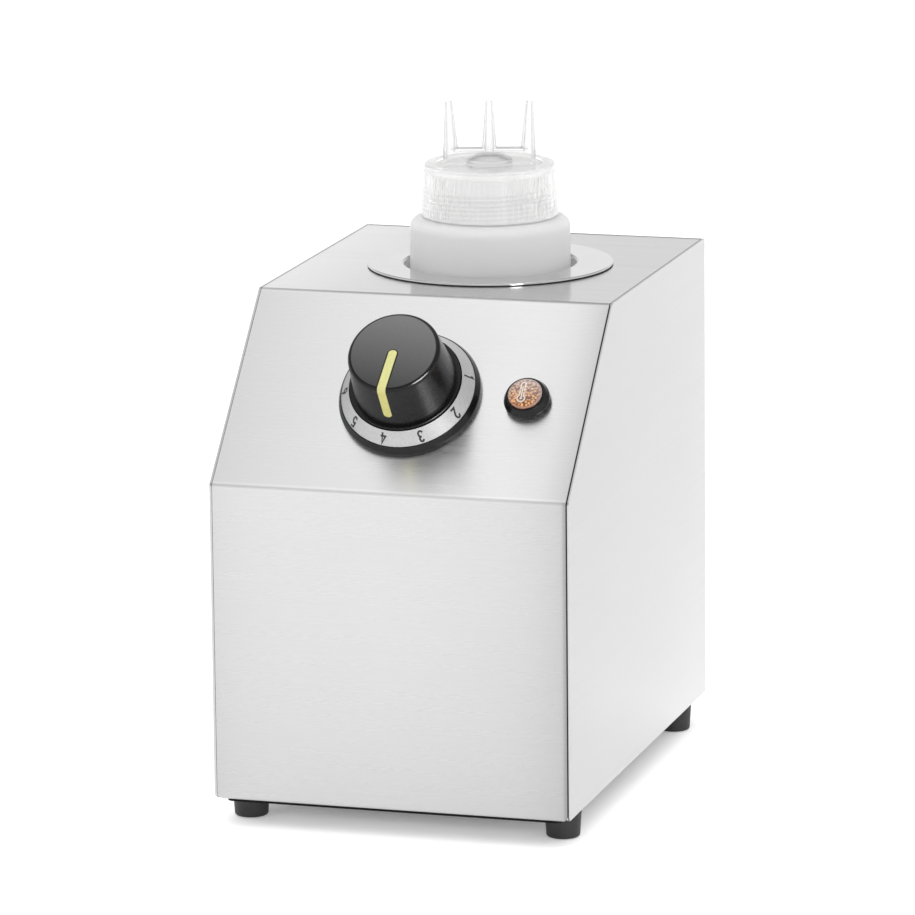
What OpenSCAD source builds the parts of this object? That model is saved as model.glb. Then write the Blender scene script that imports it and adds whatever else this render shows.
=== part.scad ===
// Countertop warmer for one squeeze bottle of hot topping.
// +X is to the right, +Y to the rear and +Z up. The origin is on the table, under the middle of the casing.

/* [Casing] */
// Width over the two side panels
body_w = 160; // [156:1:200]
// Depth from the front face to the rear face
body_d = 232; // [226:1:270]
// Height of the casing sheets, from their lower edge to the top sheet
body_h = 212; // [206:1:240]
// Rise of the 45 degree control slope
slope_rise = 72.6; // [70:0.2:80]
// Thickness of the casing sheets
sheet_t = 1; // [0.8:0.1:1.4]
// Outer radius of the bends beside the slope
bend_r = 3; // [2.5:0.5:5]
// Outer radius of the sharp bends along the lower and rear edges
edge_bend_r = 1.5; // [1.5:0.1:2]
// Rounding of the front sheet's lower corners
corner_r = 3; // [1:0.5:5]
// Width of the seams between neighbouring sheets
seam = 0.2; // [0.1:0.05:0.4]
// Depth of the return flanges behind the edges
return_w = 12; // [11:0.5:14]
// Thickness of the base plate
base_t = 1; // [0.8:0.1:1.5]
// Distance of the base plate's sides from the side panels' outer faces
base_side_inset = 4.5; // [2:0.5:6]
// Distance of the base plate's ends from the front and rear faces
base_end_inset = 2; // [1:0.5:3]

/* [Feet] */
// Height of a rubber foot under the base plate
foot_h = 10.8; // [9:0.2:16]
// Diameter of a foot against the base plate
foot_top_d = 16; // [15:0.2:17]
// Diameter of a foot at the table
foot_tip_d = 14.6; // [13:0.1:15]
// Distance of a foot's axis from the side face
foot_from_side = 9.4; // [9:0.1:10]
// Distance of a foot's axis from the front or rear face
foot_from_end = 22; // [18:1:30]

/* [Well] */
// Sideways place of the well's axis
well_x = 2.8; // [0:0.2:5]
// Distance of the well's axis behind the middle of the casing
well_y = 34; // [30:1:36]
// Bore of the well
well_bore_d = 76; // [74.4:0.2:77]
// Height of the well's floor above the base plate
floor_lift = 36.2; // [36:0.2:44]
// Thickness of the drawn sheet of the well
well_t = 0.8; // [0.6:0.1:1]
// Diameter of the well's flange
flange_d = 109.4; // [108:0.2:114]
// Thickness of the seal under the flange
flange_seal_t = 0.5; // [0.5:0.1:1.2]
// Width of the seal under the flange
flange_seal_w = 7.4; // [6.6:0.1:8]
// Number of studs under the flange
stud_count = 3; // [3:1:6]

/* [Heater] */
// Height of the band heater
heater_h = 50; // [40:1:60]
// Thickness of the band heater
heater_t = 3.2; // [2.5:0.1:4]
// Height of the band heater's lower edge above the well's floor
heater_lift = 14; // [10:1:20]
// Thickness of the insulation round the band heater
insulation_t = 8; // [5:0.5:10]
// Diameter of the temperature sensor's bulb
bulb_d = 6; // [5:0.1:6.5]
// Length of the temperature sensor's bulb
bulb_l = 70; // [60:1:75]

/* [Controls] */
// Sideways place of the knob's axis
knob_u = 0.1; // [-4:0.1:2]
// Place of the knob's axis up the slope
knob_v = 50; // [48:0.5:52]
// Diameter of the knob's rim
knob_rim_d = 48.8; // [48:0.2:49.2]
// Diameter of the knob's grip above its rim
knob_grip_d = 45.2; // [44:0.2:46]
// Diameter of the knob's top before its edge is rounded
knob_top_d = 40.1; // [38:0.1:42]
// Height of the knob's top over the slope
knob_h = 34.9; // [32:0.1:36]
// Height of the knob's lower edge over the slope
knob_base_h = 10; // [10:0.1:10.6]
// Rounding of the knob's top edge
knob_edge_r = 2.2; // [1:0.1:3]
// Width of the inlaid pointer
pointer_w = 4; // [3:0.1:5]
// Distance from the knob's axis to the middle of the pointer's round end
pointer_start = 1.4; // [0:0.1:5]
// Angle of the pointer at rest, counterclockwise from the right
pointer_angle = -94.2; // [-170:0.1:80]
// Diameter of the dial's bezel
bezel_d = 62.4; // [62:0.2:66]
// Outer diameter of the number ring
scale_outer_d = 58.8; // [58:0.2:59.6]
// Inner diameter of the number ring
scale_inner_d = 49.8; // [49.8:0.1:50.4]
// Height of the number ring's outer edge over the slope
scale_low_h = 5.5; // [5:0.1:6]
// Height of the number ring's inner edge over the slope
scale_high_h = 10.8; // [10.4:0.1:11.2]
// Diameter of the thermostat's spindle
spindle_d = 6; // [5.6:0.1:6.4]
// Distance of the lamp's axis from the right side face
lamp_from_side = 27.6; // [24:0.1:30]
// Place of the lamp's axis up the slope
lamp_v = 50.3; // [46:0.1:54]
// Widest diameter of the lamp's bezel
lamp_bezel_d = 20.6; // [20:0.2:22]
// Diameter of the amber lens
lens_d = 15; // [14:0.1:15.4]
// Diameter of the lamp's threaded barrel
barrel_d = 12.8; // [12.6:0.1:13.2]

/* [Bottle] */
// Outer diameter of the bottle
bottle_d = 71.4; // [69:0.2:72]
// Wall of the bottle
bottle_wall = 1.4; // [1:0.1:1.5]
// Height of the bottle up to its shoulder
shoulder_h = 198; // [190:0.5:210]
// Radius of the bottle's shoulder
shoulder_r = 5; // [3:0.5:5]
// Outer diameter of the bottle's neck between its threads
neck_d = 50.8; // [50.4:0.1:51]
// Height of the neck above the shoulder
neck_h = 19.3; // [18:0.1:22]
// Rise of the thread in one turn
thread_pitch = 4; // [4:0.1:4.6]
// Turns of the neck's thread
neck_turns = 2; // [1.5:0.25:2.25]
// Turns of the screw ring's thread
ring_turns = 1.25; // [1:0.25:1.5]
// Outer diameter of the screw ring's lower edge
ring_low_d = 61.2; // [60.4:0.1:62]
// Outer diameter of the screw ring's upper edge
ring_top_d = 57.8; // [57.4:0.1:58.4]
// Bore of the screw ring
ring_bore_d = 55.2; // [54.9:0.1:55.4]
// Number of grip ribs on the screw ring
rib_count = 72; // [48:1:84]
// Thickness of the seal on the neck
cap_seal_t = 1; // [0.8:0.1:1.5]
// Length over the nozzle's three outlets
nozzle_w = 41; // [38:0.5:44]
// Distance between neighbouring outlets
tip_pitch = 17.1; // [15:0.1:17.9]
// Height of the outlets' tips over the nozzle's bar
tip_h = 20.9; // [15:0.1:26]
// Angle of the nozzle's bar round the bottle's axis
nozzle_angle = 16; // [-45:1:45]

/* [Hidden] */
$fn = 72;

// Cuts run this far past the faces that they open
over = 1;

// Casing planes
case_z = foot_h + base_t + seam;
base_top_z = foot_h + base_t;
top_z = case_z + body_h;
front_y = -body_d / 2;
rear_y = body_d / 2;
side_x = body_w / 2;
plate_x = side_x - sheet_t;
wrap_x = plate_x - seam;
return_x = plate_x - return_w - seam;
crease_z = top_z - slope_rise;
slope_top_y = front_y + slope_rise;
diag = sqrt(0.5);

// Screws: radii of the shanks and the clearance round them
hole_clear = 0.1;
m3_r = 1.5;
m4_r = 2;
tapper_r = 1.6;
tapper_head_r = 3.4;
tapper_head_h = 1.2;
tapper_l = 8;
head_round = 0.7;
drive_width = 0.5;
drive_depth = 0.45;
base_screw_x = 40;
base_screw_edge = 3;
rear_screw_inset = 20;
rear_screw_zs = [case_z + rear_screw_inset, case_z + body_h / 2, top_z - rear_screw_inset];
m4_head_r = 3.9;
m4_head_h = 2.4;
m3_nut_af = 5.5;
m3_nut_h = 2.4;
m4_nut_af = 7;
m4_nut_h = 3.2;

// Feet
foot_x = side_x - foot_from_side;
foot_y = rear_y - foot_from_end;
foot_edge_r = 1;
foot_recess_r = 4.6;
foot_recess_h = 5.6;
flange_top_z = case_z + sheet_t;

// Vents
vent_x = 32;
vent_l = 44;
vent_w = 3;
vent_pitch = 7;
vent_rows = 6;
vent_from_top = 28;
base_vent_y = -60;
base_vent_pitch = 8;
base_vent_rows = 5;

// Well: its flange stands on the seal, and its floor carries the bottle
rim_bend_r = 0.6;
flange_z = top_z + flange_seal_t + well_t;
floor_z = base_top_z + floor_lift;
well_r = well_bore_d / 2 + well_t;
pot_corner_r = 6;
seal_inset = 0.8;
under_pot_z = floor_z - well_t;
seal_r = flange_d / 2 - seal_inset;
top_hole_r = seal_r - flange_seal_w;
lip_r = 1.6;
stud_circle_r = seal_r - flange_seal_w / 2;
stud_r = m4_r;
stud_l = 13;
stud_turn = 30;

// Heater parts
fit_gap = 0.1;
heater_r = well_r + fit_gap;
heater_out_r = heater_r + heater_t;
heater_z = floor_z + heater_lift;
heater_split = 6;
ear_t = 1.5;
ear_reach = 12;
clamp_r = 2.5;
clamp_af = 8;
clamp_head_h = 3.5;
clamp_nut_h = 4;
clamp_span = heater_split / 2 + ear_t;
box_depth = 10;
box_w = 22;
box_h = 18;
box_lift = 14;
post_r = 2;
post_l = 6;
post_pitch = 12;
post_from_axis = -heater_out_r - box_depth / 2;
insulation_r = heater_out_r + fit_gap;
insulation_lift = 2;
bulb_angle = 235;
bulb_ring_r = well_r + bulb_d / 2 + fit_gap / 2;
bulb_z = heater_z + heater_h + 6;
bulb_top_z = bulb_z + bulb_l;
clip_h = 8;
clip_t = 0.8;
clip_low = 14;
clip_gap = 34;
clip_half = 11;
capillary_r = 0.9;

// Cut-out under the well's floor
cutout_r = 8;
cutout_h = 9;
cutout_ear = 13.5;
cutout_ear_w = 8;
cutout_ear_t = 1;
cutout_stud_l = 8;
blade_w = 6.3;
blade_t = 0.8;
blade_l = 8;
cutout_blade_x = 4;

// Thermostat, in the slope's own frame
stat_w = 36;
stat_l = 40;
stat_depth = 28;
stat_boss_r = 5;
stat_boss_h = 3.5;
stat_hole_pitch = 28;
stat_screw_l = 9;
shaft_clear = 0.05;
spindle_tail = 20;
stat_blade_u = [-2, 8, 16];
stat_blade_v = -6;
gland_u = -10;
gland_v = 8;
gland_r = 2.5;
gland_h = 2;

// Knob and dial
bezel_floor_t = 1.5;
scale_t = 0.8;
skirt_wall = 2;
crown_t = 3;
rim_h = 1.8;
rim_edge_r = 0.6;
bezel_wall = 1.8;
bezel_side_h = 2.5;
bezel_side_r = 2;
bezel_lip = 0.4;
knob_boss_r = 6;
knob_boss_h = 5;
flat_depth = 1;
inlay_depth = 0.9;
inlay_proud = 0.1;
pointer_end_h = 17.3;
inside_run = 0.5;

// Lamp
lamp_u = side_x - lamp_from_side;
lamp_foot_inset = 1.3;
lamp_side_h = 2.5;
lamp_side_r = 2;
lamp_top_w = 0.8;
lamp_wire_u = 2;
lens_clear = 0.2;
lens_seat_h = 2.5;
lens_edge_h = 6.9;
lens_edge_r = 0.5;
lens_proud = 0.8;
lens_dome = 1;
dome_steps = 8;
barrel_wall = 0.8;
barrel_depth = 15;
bulb_holder_t = 2.5;
neon_r = 3;
neon_l = 13;
lamp_nut_af = 17;
lamp_nut_t = 3.5;

// Terminal block, earth stud and cord entry
block_from_side = 36.5;
block_from_rear = 56;
block_x = block_from_side - side_x;
block_y = rear_y - block_from_rear;
block_w = 44;
block_d = 20;
block_h = 16;
pole_pitch = 10;
pole_h = 8.2;
lead_r = 1.3;
lead_clear = 0.1;
pole_depth = 6;
pole_screw_y = 5;
earth_x = -16;
earth_from_rear = 24;
earth_y = rear_y - earth_from_rear;
earth_stud_l = 14;
lug_t = 1;
lug_r = 4.5;
lug_reach = 8;
entry_from_side = 35;
entry_x = side_x - entry_from_side;
entry_z = 36;
entry_bore_r = 4;
entry_hole_r = 8;
entry_flange_r = 10.5;
entry_flange_t = 3;
entry_lip = 1;
entry_edge_r = 1;

// Bottle, threads, screw ring and nozzle
foot_ring_r = 27;
push_up = 2.5;
bottle_corner_r = 5;
push_up_r = 3;
bead_r = 1.5;
neck_root_r = 1.2;
neck_top_z = floor_z + shoulder_h + neck_h;
shoulder_z = floor_z + shoulder_h;
thread_depth = 1.5;
thread_w = 1.2;
thread_root_w = 1.8;
thread_bite = 0.3;
thread_start_z = shoulder_z + 4.5;
thread_steps = 24;
lid_t = 1.6;
disc_t = 1.6;
ring_lift = 0.8;
ring_z = shoulder_z + ring_lift;
disc_z = neck_top_z + cap_seal_t;
lid_clear = 0.2;
lid_z = disc_z + disc_t + lid_clear;
ring_top_z = lid_z + lid_t;
band_h = 4;
hem_h = 1.2;
ring_edge_r = 0.5;
rib_depth = 0.5;
rib_w = 1;
rib_bite = 0.2;
disc_clear = 0.4;
lid_hole_r = 24;
plug_clear = 0.4;
plug_drop = 0.6;
bar_w = 7;
bar_top_z = ring_top_z + 6.5;
bar_wall = 1.2;
dome_r = 11;
dome_top = 4.1;
dome_side_h = 1;
dome_side_r = 2;
dome_top_r = 6;
tip_base_r = 3.3;
tip_end_r = 1.65;
tip_bore_r = 1;
tip_lean = 0.8;

// Internal leads: ends on their terminals, and points between them chosen by hand
lamp_lead_r = 0.9;
lead_gap = 0.1;
stat_back = -sheet_t - stat_depth;
post_x = well_x + post_from_axis;
post_z = heater_z + box_lift - post_l - lead_gap;
cutout_tip_z = under_pot_z - cutout_h - blade_l - lead_gap;
lamp_back = lens_seat_h - seam - neon_l - bulb_holder_t - lead_gap;
lug_z = base_top_z + m4_nut_h + lug_t / 2;

// Pole i of the terminal block: s is -1 inside its front mouth, 1 inside its rear mouth and 0 between
function pole(i, s) =
    [block_x + (i - 1.5) * pole_pitch, block_y + s * (block_d / 2 - pole_depth), base_top_z + pole_h];
function past_pole(i, s, d) = pole(i, s) + [0, s * (pole_depth + d), 0];
// End of blade i of the thermostat, or a point d past it
function blade_end(i, d) =
    slope_point(knob_u + stat_blade_u[i], knob_v + stat_blade_v, stat_back - blade_l - lead_gap - d);
function lamp_end(s, d) = slope_point(lamp_u + s * lamp_wire_u, lamp_v, lamp_back - d);

// Points for the leads: behind the front and under the crease, or over the base plate
function hung(x, back, drop) = [x, front_y + back, crease_z - drop];
function laid(x, y, rise) = [x, y, base_top_z + rise];

line_route = [
    pole(0, -1), past_pole(0, -1, 2), past_pole(0, -1, 8), laid(block_x - 17.5, 0, 5.2),
    laid(block_x - 16.5, front_y + 66, 6.2), laid(block_x - 6.5, front_y + 38, 18.2), hung(-30, 36, 81),
    hung(-12, 48, 36), hung(-4, 61, 14), blade_end(0, 8), blade_end(0, 0)
];
switched_route = [
    blade_end(1, 0), blade_end(1, 8), hung(8.2, 68, 15), hung(9, 70, 41), hung(9, 70, 81),
    laid(9, front_y + 78, 26.2), laid(well_x + 5.2, well_y - 44, 8.2), laid(well_x + 4.4, well_y - 22, 5.2),
    laid(well_x + cutout_blade_x, well_y - 6, 6.2), laid(well_x + cutout_blade_x, well_y, 12.2),
    [well_x + cutout_blade_x, well_y, cutout_tip_z]
];
cutout_route = [
    [well_x - cutout_blade_x, well_y, cutout_tip_z], laid(well_x - cutout_blade_x, well_y, 12.2),
    laid(well_x - 12.2, well_y - 2, 6.2), laid(well_x - 29, well_y - 5, 6.2),
    laid(post_x + 5, well_y - 6, 14.2), laid(post_x, well_y - post_pitch / 2, 34.2),
    [post_x, well_y - post_pitch / 2, post_z]
];
neutral_route = [
    pole(1, -1), past_pole(1, -1, 2), past_pole(1, -1, 5.8) + [0.2, 0, 1.5],
    past_pole(1, -1, 7.2) + [1.2, 0, 8], laid(post_x - 1, well_y + 6, 28.2),
    laid(post_x, well_y + post_pitch / 2, 44.2),
    [post_x, well_y + post_pitch / 2, post_z]
];
lamp_live_route = [
    lamp_end(-1, 0), lamp_end(-1, 6), hung(lamp_u - 5.2, 59, -7), hung(lamp_u - 19.2, 64, 3),
    hung(22, 66, 5), blade_end(2, 8), blade_end(2, 0)
];
lamp_neutral_route = [
    lamp_end(1, 0), lamp_end(1, 6), hung(lamp_u + 2.3, 55, -9), hung(lamp_u + 2.5, 56, 11),
    hung(lamp_u + 2, 54, 51), laid(lamp_u - 1, front_y + 56, 38.2), laid(40, front_y + 64, 10.2),
    laid(10, front_y + 81, 4.2), laid(-22, -5, 4.2), laid(block_x + 6.5, 20, 5.2), past_pole(2, -1, 8),
    past_pole(2, -1, 2), pole(2, -1)
];
earth_route = [
    pole(3, 1), past_pole(3, 1, 2), past_pole(3, 1, 4), laid(block_x + 18.5, block_y + 16.5, 5.2),
    [earth_x - 1, earth_y - lug_reach - 2, lug_z], [earth_x, earth_y - lug_r, lug_z]
];
capillary_route = [
    slope_point(knob_u + gland_u, knob_v + gland_v, stat_back - gland_h - lead_gap),
    slope_point(knob_u + gland_u, knob_v + gland_v, stat_back - gland_h - 8),
    hung(-11, 76, -10), hung(-14, 84, -16), [-17, well_y - 54, bulb_top_z - 6],
    [-19, well_y - 46, bulb_top_z + 8], [-20.4, well_y - 38, bulb_top_z + 15],
    around_well(bulb_ring_r, bulb_angle, bulb_top_z + 8),
    around_well(bulb_ring_r, bulb_angle, bulb_top_z + lead_gap)
];

// Vectors and rounded outlines
function unit(v) = v / norm(v);
function side(a, b) = a.x * b.y - a.y * b.x;
function turned(v) = [-v.y, v.x];
function wrapped(a) = a > 180 ? a - 360 : (a < -180 ? a + 360 : a);
function flip(list) = [for (i = [len(list) - 1:-1:0]) list[i]];
function flat(lists) = [for (l = lists) for (p = l) p];

// The arc of radius r that rounds the corner b between a and c
function corner_arc(a, b, c, r, steps) =
    let (
        to_a = unit(a - b),
        to_c = unit(c - b),
        half = acos(to_a * to_c) / 2,
        centre = b + unit(to_a + to_c) * r / sin(half),
        first = b + to_a * r / tan(half) - centre,
        last = b + to_c * r / tan(half) - centre,
        start = atan2(first.y, first.x),
        sweep = wrapped(atan2(last.y, last.x) - start)
    )
    [for (i = [0:steps]) centre + r * [cos(start + sweep * i / steps), sin(start + sweep * i / steps)]];

// An open path of [x, y, radius] corners as plain points; its two ends stay sharp
function rounded(path, steps = 7) = flat([
    for (i = [0:len(path) - 1])
        let (p = [path[i][0], path[i][1]], r = path[i][2])
        i == 0 || i == len(path) - 1 || r == undef || r <= 0
            ? [p]
            : corner_arc([path[i - 1][0], path[i - 1][1]], p, [path[i + 1][0], path[i + 1][1]], r, steps)
]);

// The same path moved sideways by d to its left, with every bend kept concentric
function moved(path, d) = [
    for (i = [0:len(path) - 1])
        let (
            p = [path[i][0], path[i][1]],
            before = i > 0 ? unit(p - [path[i - 1][0], path[i - 1][1]]) : undef,
            after = i < len(path) - 1 ? unit([path[i + 1][0], path[i + 1][1]] - p) : undef,
            dir_in = before == undef ? after : before,
            dir_out = after == undef ? before : after,
            mid = unit(turned(dir_in) + turned(dir_out)),
            q = p + mid * d / (mid * turned(dir_in)),
            r = path[i][2] == undef ? 0 : path[i][2],
            bend = side(dir_in, dir_out)
        )
        [q.x, q.y, r > 0 ? r - sign(bend) * d : 0]
];

// Outline of a sheet of thickness t to the left of a path
function sheet_outline(path, t) = concat(rounded(path), flip(rounded(moved(path, t))));

// Places on the slope: u to the right, v up the slope from the crease and h out of it
function slope_point(u, v, h) = [u, front_y + (v - h) * diag, crease_z + (v + h) * diag];
function around_well(r, a, z) = [well_x + r * cos(a), well_y + r * sin(a), z];

module on_slope(u, v) {
    translate([u, front_y, crease_z])
        rotate([45, 0, 0])
            translate([0, v, 0])
                children();
}

module at_well(z = 0) {
    translate([well_x, well_y, z])
        children();
}

// An outline in Y and Z drawn out along X, the same on both sides of the middle
module along_x(width) {
    translate([-width / 2, 0, 0])
        rotate([90, 0, 90])
            linear_extrude(width)
                children();
}

module spun(points) {
    rotate_extrude($fn = 96)
        polygon(points);
}

module hex_nut(af, h, bore_r) {
    difference() {
        cylinder(d = af / cos(30), h = h, $fn = 6);
        translate([0, 0, -over])
            cylinder(r = bore_r, h = h + 2 * over);
    }
}

// A pan-head screw whose head sits on z = 0 and whose shank points down
module pan_screw(shank_r, shank_l, head_r, head_h) {
    spun(rounded([
        [0, -shank_l], [shank_r, -shank_l, shank_r / 3], [shank_r, 0], [head_r, 0],
        [head_r, head_h, head_h * head_round], [head_r * drive_width, head_h],
        [head_r * drive_width, head_h * (1 - drive_depth)], [0, head_h * (1 - drive_depth)]
    ]));
}

module slot(length, width, depth) {
    translate([-(length - width) / 2, -width / 2, 0])
        cube([length - width, width, depth]);
    for (s = [-1, 1])
        translate([s * (length - width) / 2, 0, 0])
            cylinder(d = width, h = depth);
}

// A tube along a curve through the points, with one ring at each step of the curve
function spline(a, b, c, d, t) =
    0.5 * (2 * b + (c - a) * t + (2 * a - 5 * b + 4 * c - d) * t * t + (3 * b - a - 3 * c + d) * t * t * t);
function curve(points, steps) =
    let (n = len(points) - 1)
    concat(
        [for (i = [0:n - 1]) for (k = [0:steps - 1])
            spline(points[max(i - 1, 0)], points[i], points[i + 1], points[min(i + 2, n)], k / steps)],
        [points[n]]
    );
function headings(path) =
    [for (i = [0:len(path) - 1]) unit(path[min(i + 1, len(path) - 1)] - path[max(i - 1, 0)])];
function carried(dirs, i, n) =
    i == len(dirs) ? [] : let (m = unit(n - (n * dirs[i]) * dirs[i])) concat([m], carried(dirs, i + 1, m));

module tube(points, r, steps = 3, sides = 8) {
    path = curve(points, steps);
    dirs = headings(path);
    first = abs(dirs[0].x) < 0.9 ? [1, 0, 0] : [0, 1, 0];
    normals = carried(dirs, 0, first);
    rings = len(path);
    verts = [
        for (i = [0:rings - 1])
            for (k = [0:sides - 1])
                let (a = k * 360 / sides)
                    path[i] + r * (cos(a) * normals[i] + sin(a) * cross(dirs[i], normals[i]))
    ];
    walls = [
        for (i = [0:rings - 2])
            for (k = [0:sides - 1])
                let (a = i * sides + k, b = i * sides + (k + 1) % sides)
                    for (f = [[a, a + sides, b], [b, a + sides, b + sides]]) f
    ];
    ends = [
        [for (k = [0:sides - 1]) k],
        [for (k = [sides - 1:-1:0]) (rings - 1) * sides + k]
    ];
    polyhedron(verts, concat(walls, ends));
}

// A thread ridge that climbs to the right; its crest lies outside its root on a neck and inside it in a ring
module thread(root_r, crest_r, z, turns) {
    steps = round(thread_steps * turns);
    section = [
        [root_r, -thread_root_w / 2], [crest_r, -thread_w / 2],
        [crest_r, thread_w / 2], [root_r, thread_root_w / 2]
    ];
    inward = crest_r < root_r;
    verts = [
        for (i = [0:steps])
            for (p = section)
                let (a = 360 * i / thread_steps)
                    [p.x * cos(a), p.x * sin(a), z + p.y + thread_pitch * i / thread_steps]
    ];
    walls = [
        for (i = [0:steps - 1])
            for (k = [0:3])
                let (a = 4 * i + k, b = 4 * i + (k + 1) % 4)
                    for (f = [[a, b, a + 4], [b, b + 4, a + 4]]) inward ? flip(f) : f
    ];
    first = [3, 2, 1, 0];
    last = [for (k = [0:3]) 4 * steps + k];
    polyhedron(verts, concat(walls, inward ? [flip(first), flip(last)] : [first, last]));
}

// Side view of the casing from the front's lower edge to the rear end of the top, set in by d
function side_view(d) = [
    [front_y + d, crease_z - d * tan(22.5), bend_r - d],
    [slope_top_y + d * tan(22.5), top_z - d, bend_r - d]
];

// The whole side view as a loop that starts and ends in the middle of the lower edge
function side_loop(d, lower_r, rear_r) = concat(
    [[0, case_z], [front_y + d, case_z, lower_r]],
    side_view(d),
    [[rear_y - d, top_z - d, rear_r], [rear_y - d, case_z, lower_r], [0, case_z]]
);

module both_sides() {
    for (s = [-1, 1])
        one_side(s)
            children();
}

module one_side(s) {
    mirror([s < 0 ? 1 : 0, 0, 0])
        children();
}

module stud_places() {
    for (i = [0:stud_count - 1])
        rotate(stud_turn + i * 360 / stud_count)
            translate([stud_circle_r, 0, 0])
                children();
}

module base_screw_places() {
    inset = return_w - base_screw_edge;
    for (x = [-base_screw_x, base_screw_x], y = [front_y + inset, rear_y - inset])
        translate([x, y, foot_h])
            children();
    for (s = [-1, 1])
        translate([s * (plate_x - return_w / 2), 0, foot_h])
            children();
}

module foot_places() {
    for (x = [-foot_x, foot_x], y = [-foot_y, foot_y])
        translate([x, y, 0])
            children();
}

module rear_screw_places() {
    for (s = [-1, 1], z = rear_screw_zs)
        translate([s * (plate_x - return_w / 2), rear_y, z])
            rotate([-90, 0, 0])
                children();
}

module lower_screw_holes() {
    stack = base_t + seam + sheet_t + 2 * over;
    base_screw_places()
        translate([0, 0, -over])
            cylinder(r = tapper_r + hole_clear, h = stack);
    foot_places()
        translate([0, 0, foot_h - over])
            cylinder(r = m4_r + hole_clear, h = stack);
}

module slope_holes() {
    on_slope(knob_u, knob_v)
        translate([0, 0, -sheet_t - over]) {
            cylinder(r = stat_boss_r + inside_run, h = sheet_t + 2 * over);
            for (s = [-1, 1])
                translate([s * stat_hole_pitch / 2, 0, 0])
                    cylinder(r = m4_r + hole_clear, h = sheet_t + 2 * over);
        }
    on_slope(lamp_u, lamp_v)
        translate([0, 0, -sheet_t - over])
            cylinder(r = barrel_d / 2 + hole_clear, h = sheet_t + 2 * over);
}

// Clears a sheet's return flange beside the flange of a side panel
module return_notch(y, z, depth, height) {
    both_sides()
        translate([return_x, y, z])
            cube([wrap_x - return_x + over, depth, height]);
}

// What rounds off the two lower corners of a sheet that stands at y
module corner_cuts(y) {
    both_sides()
        translate([wrap_x - corner_r, y - over, case_z + corner_r])
            rotate([-90, 0, 0])
                difference() {
                    cube([corner_r + over, corner_r + over, sheet_t + 2 * over]);
                    translate([0, 0, -over])
                        cylinder(r = corner_r, h = sheet_t + 4 * over);
                }
}

// Front, slope and top in one bent sheet, with a return along its lower and its rear edge
module casing_wrap() {
    wrap_rear = rear_y - sheet_t - seam;
    path = concat(
        [[front_y + return_w, case_z], [front_y, case_z, edge_bend_r]],
        side_view(0),
        [[wrap_rear, top_z, edge_bend_r], [wrap_rear, top_z - return_w]]
    );
    color("gainsboro")
        difference() {
            along_x(2 * wrap_x)
                polygon(sheet_outline(path, -sheet_t));
            return_notch(front_y + sheet_t, case_z - over, return_w, sheet_t + over);
            return_notch(wrap_rear - sheet_t - over, top_z - return_w - over, sheet_t + 2 * over,
                return_w + over - sheet_t);
            corner_cuts(front_y);
            slope_holes();
            at_well(top_z - sheet_t - over) {
                cylinder(r = top_hole_r, h = sheet_t + 2 * over);
                stud_places()
                    cylinder(r = stud_r + hole_clear, h = sheet_t + 2 * over);
            }
            lower_screw_holes();
        }
}

// A flat side whose flange runs all round its inner face; this one is on the right
module side_panel() {
    inset = sheet_t + seam;
    hoop = side_loop(inset, edge_bend_r, edge_bend_r);
    difference() {
        union() {
            translate([side_x - sheet_t / 2, 0, 0])
                along_x(sheet_t)
                    polygon(rounded(side_loop(0, corner_r, 0)));
            translate([plate_x - return_w / 2, 0, 0])
                along_x(return_w)
                    difference() {
                        polygon(rounded(hoop));
                        polygon(rounded(moved(hoop, -sheet_t)));
                    }
        }
        lower_arris();
        translate([plate_x - return_w - over, front_y + inset - over, case_z - over])
            cube([return_w, return_w + over, sheet_t + 2 * over]);
        lower_screw_holes();
        rear_screw_places()
            translate([0, 0, -inset - sheet_t - over])
                cylinder(r = tapper_r + hole_clear, h = inset + sheet_t);
    }
}

// What rounds the bend between a side panel and its lower flange
module lower_arris() {
    translate([side_x - edge_bend_r, body_d / 2 + over, case_z + edge_bend_r])
        rotate([90, 0, 0])
            difference() {
                translate([0, -edge_bend_r - over, 0])
                    cube([edge_bend_r + over, edge_bend_r + over, body_d + 2 * over]);
                translate([0, 0, -over])
                    cylinder(r = edge_bend_r, h = body_d + 4 * over);
            }
}

module left_side_panel() {
    color("silver")
        one_side(-1)
            side_panel();
}

module right_side_panel() {
    color("silver")
        side_panel();
}

// Rear sheet with its lower return, two columns of vents and the cord entry
module rear_panel() {
    path = [[rear_y - return_w, case_z], [rear_y, case_z, edge_bend_r], [rear_y, top_z]];
    color("lightgray")
        difference() {
            along_x(2 * wrap_x)
                polygon(sheet_outline(path, sheet_t));
            return_notch(rear_y - return_w - over, case_z - over, return_w + over - sheet_t, sheet_t + over);
            corner_cuts(rear_y - sheet_t);
            lower_screw_holes();
            rear_screw_places()
                translate([0, 0, -sheet_t - over])
                    cylinder(r = tapper_r + hole_clear, h = sheet_t + 2 * over);
            translate([entry_x, rear_y - sheet_t - over, entry_z])
                rotate([-90, 0, 0])
                    cylinder(r = entry_hole_r, h = sheet_t + 2 * over);
            for (s = [-1, 1], i = [0:vent_rows - 1])
                translate([s * vent_x, rear_y - sheet_t - over, top_z - vent_from_top - i * vent_pitch])
                    rotate([-90, 0, 0])
                        slot(vent_l, vent_w, sheet_t + 2 * over);
        }
}

module rear_panel_screws() {
    color("silver")
        rear_screw_places()
            pan_screw(tapper_r, tapper_l, tapper_head_r, tapper_head_h);
}

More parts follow.
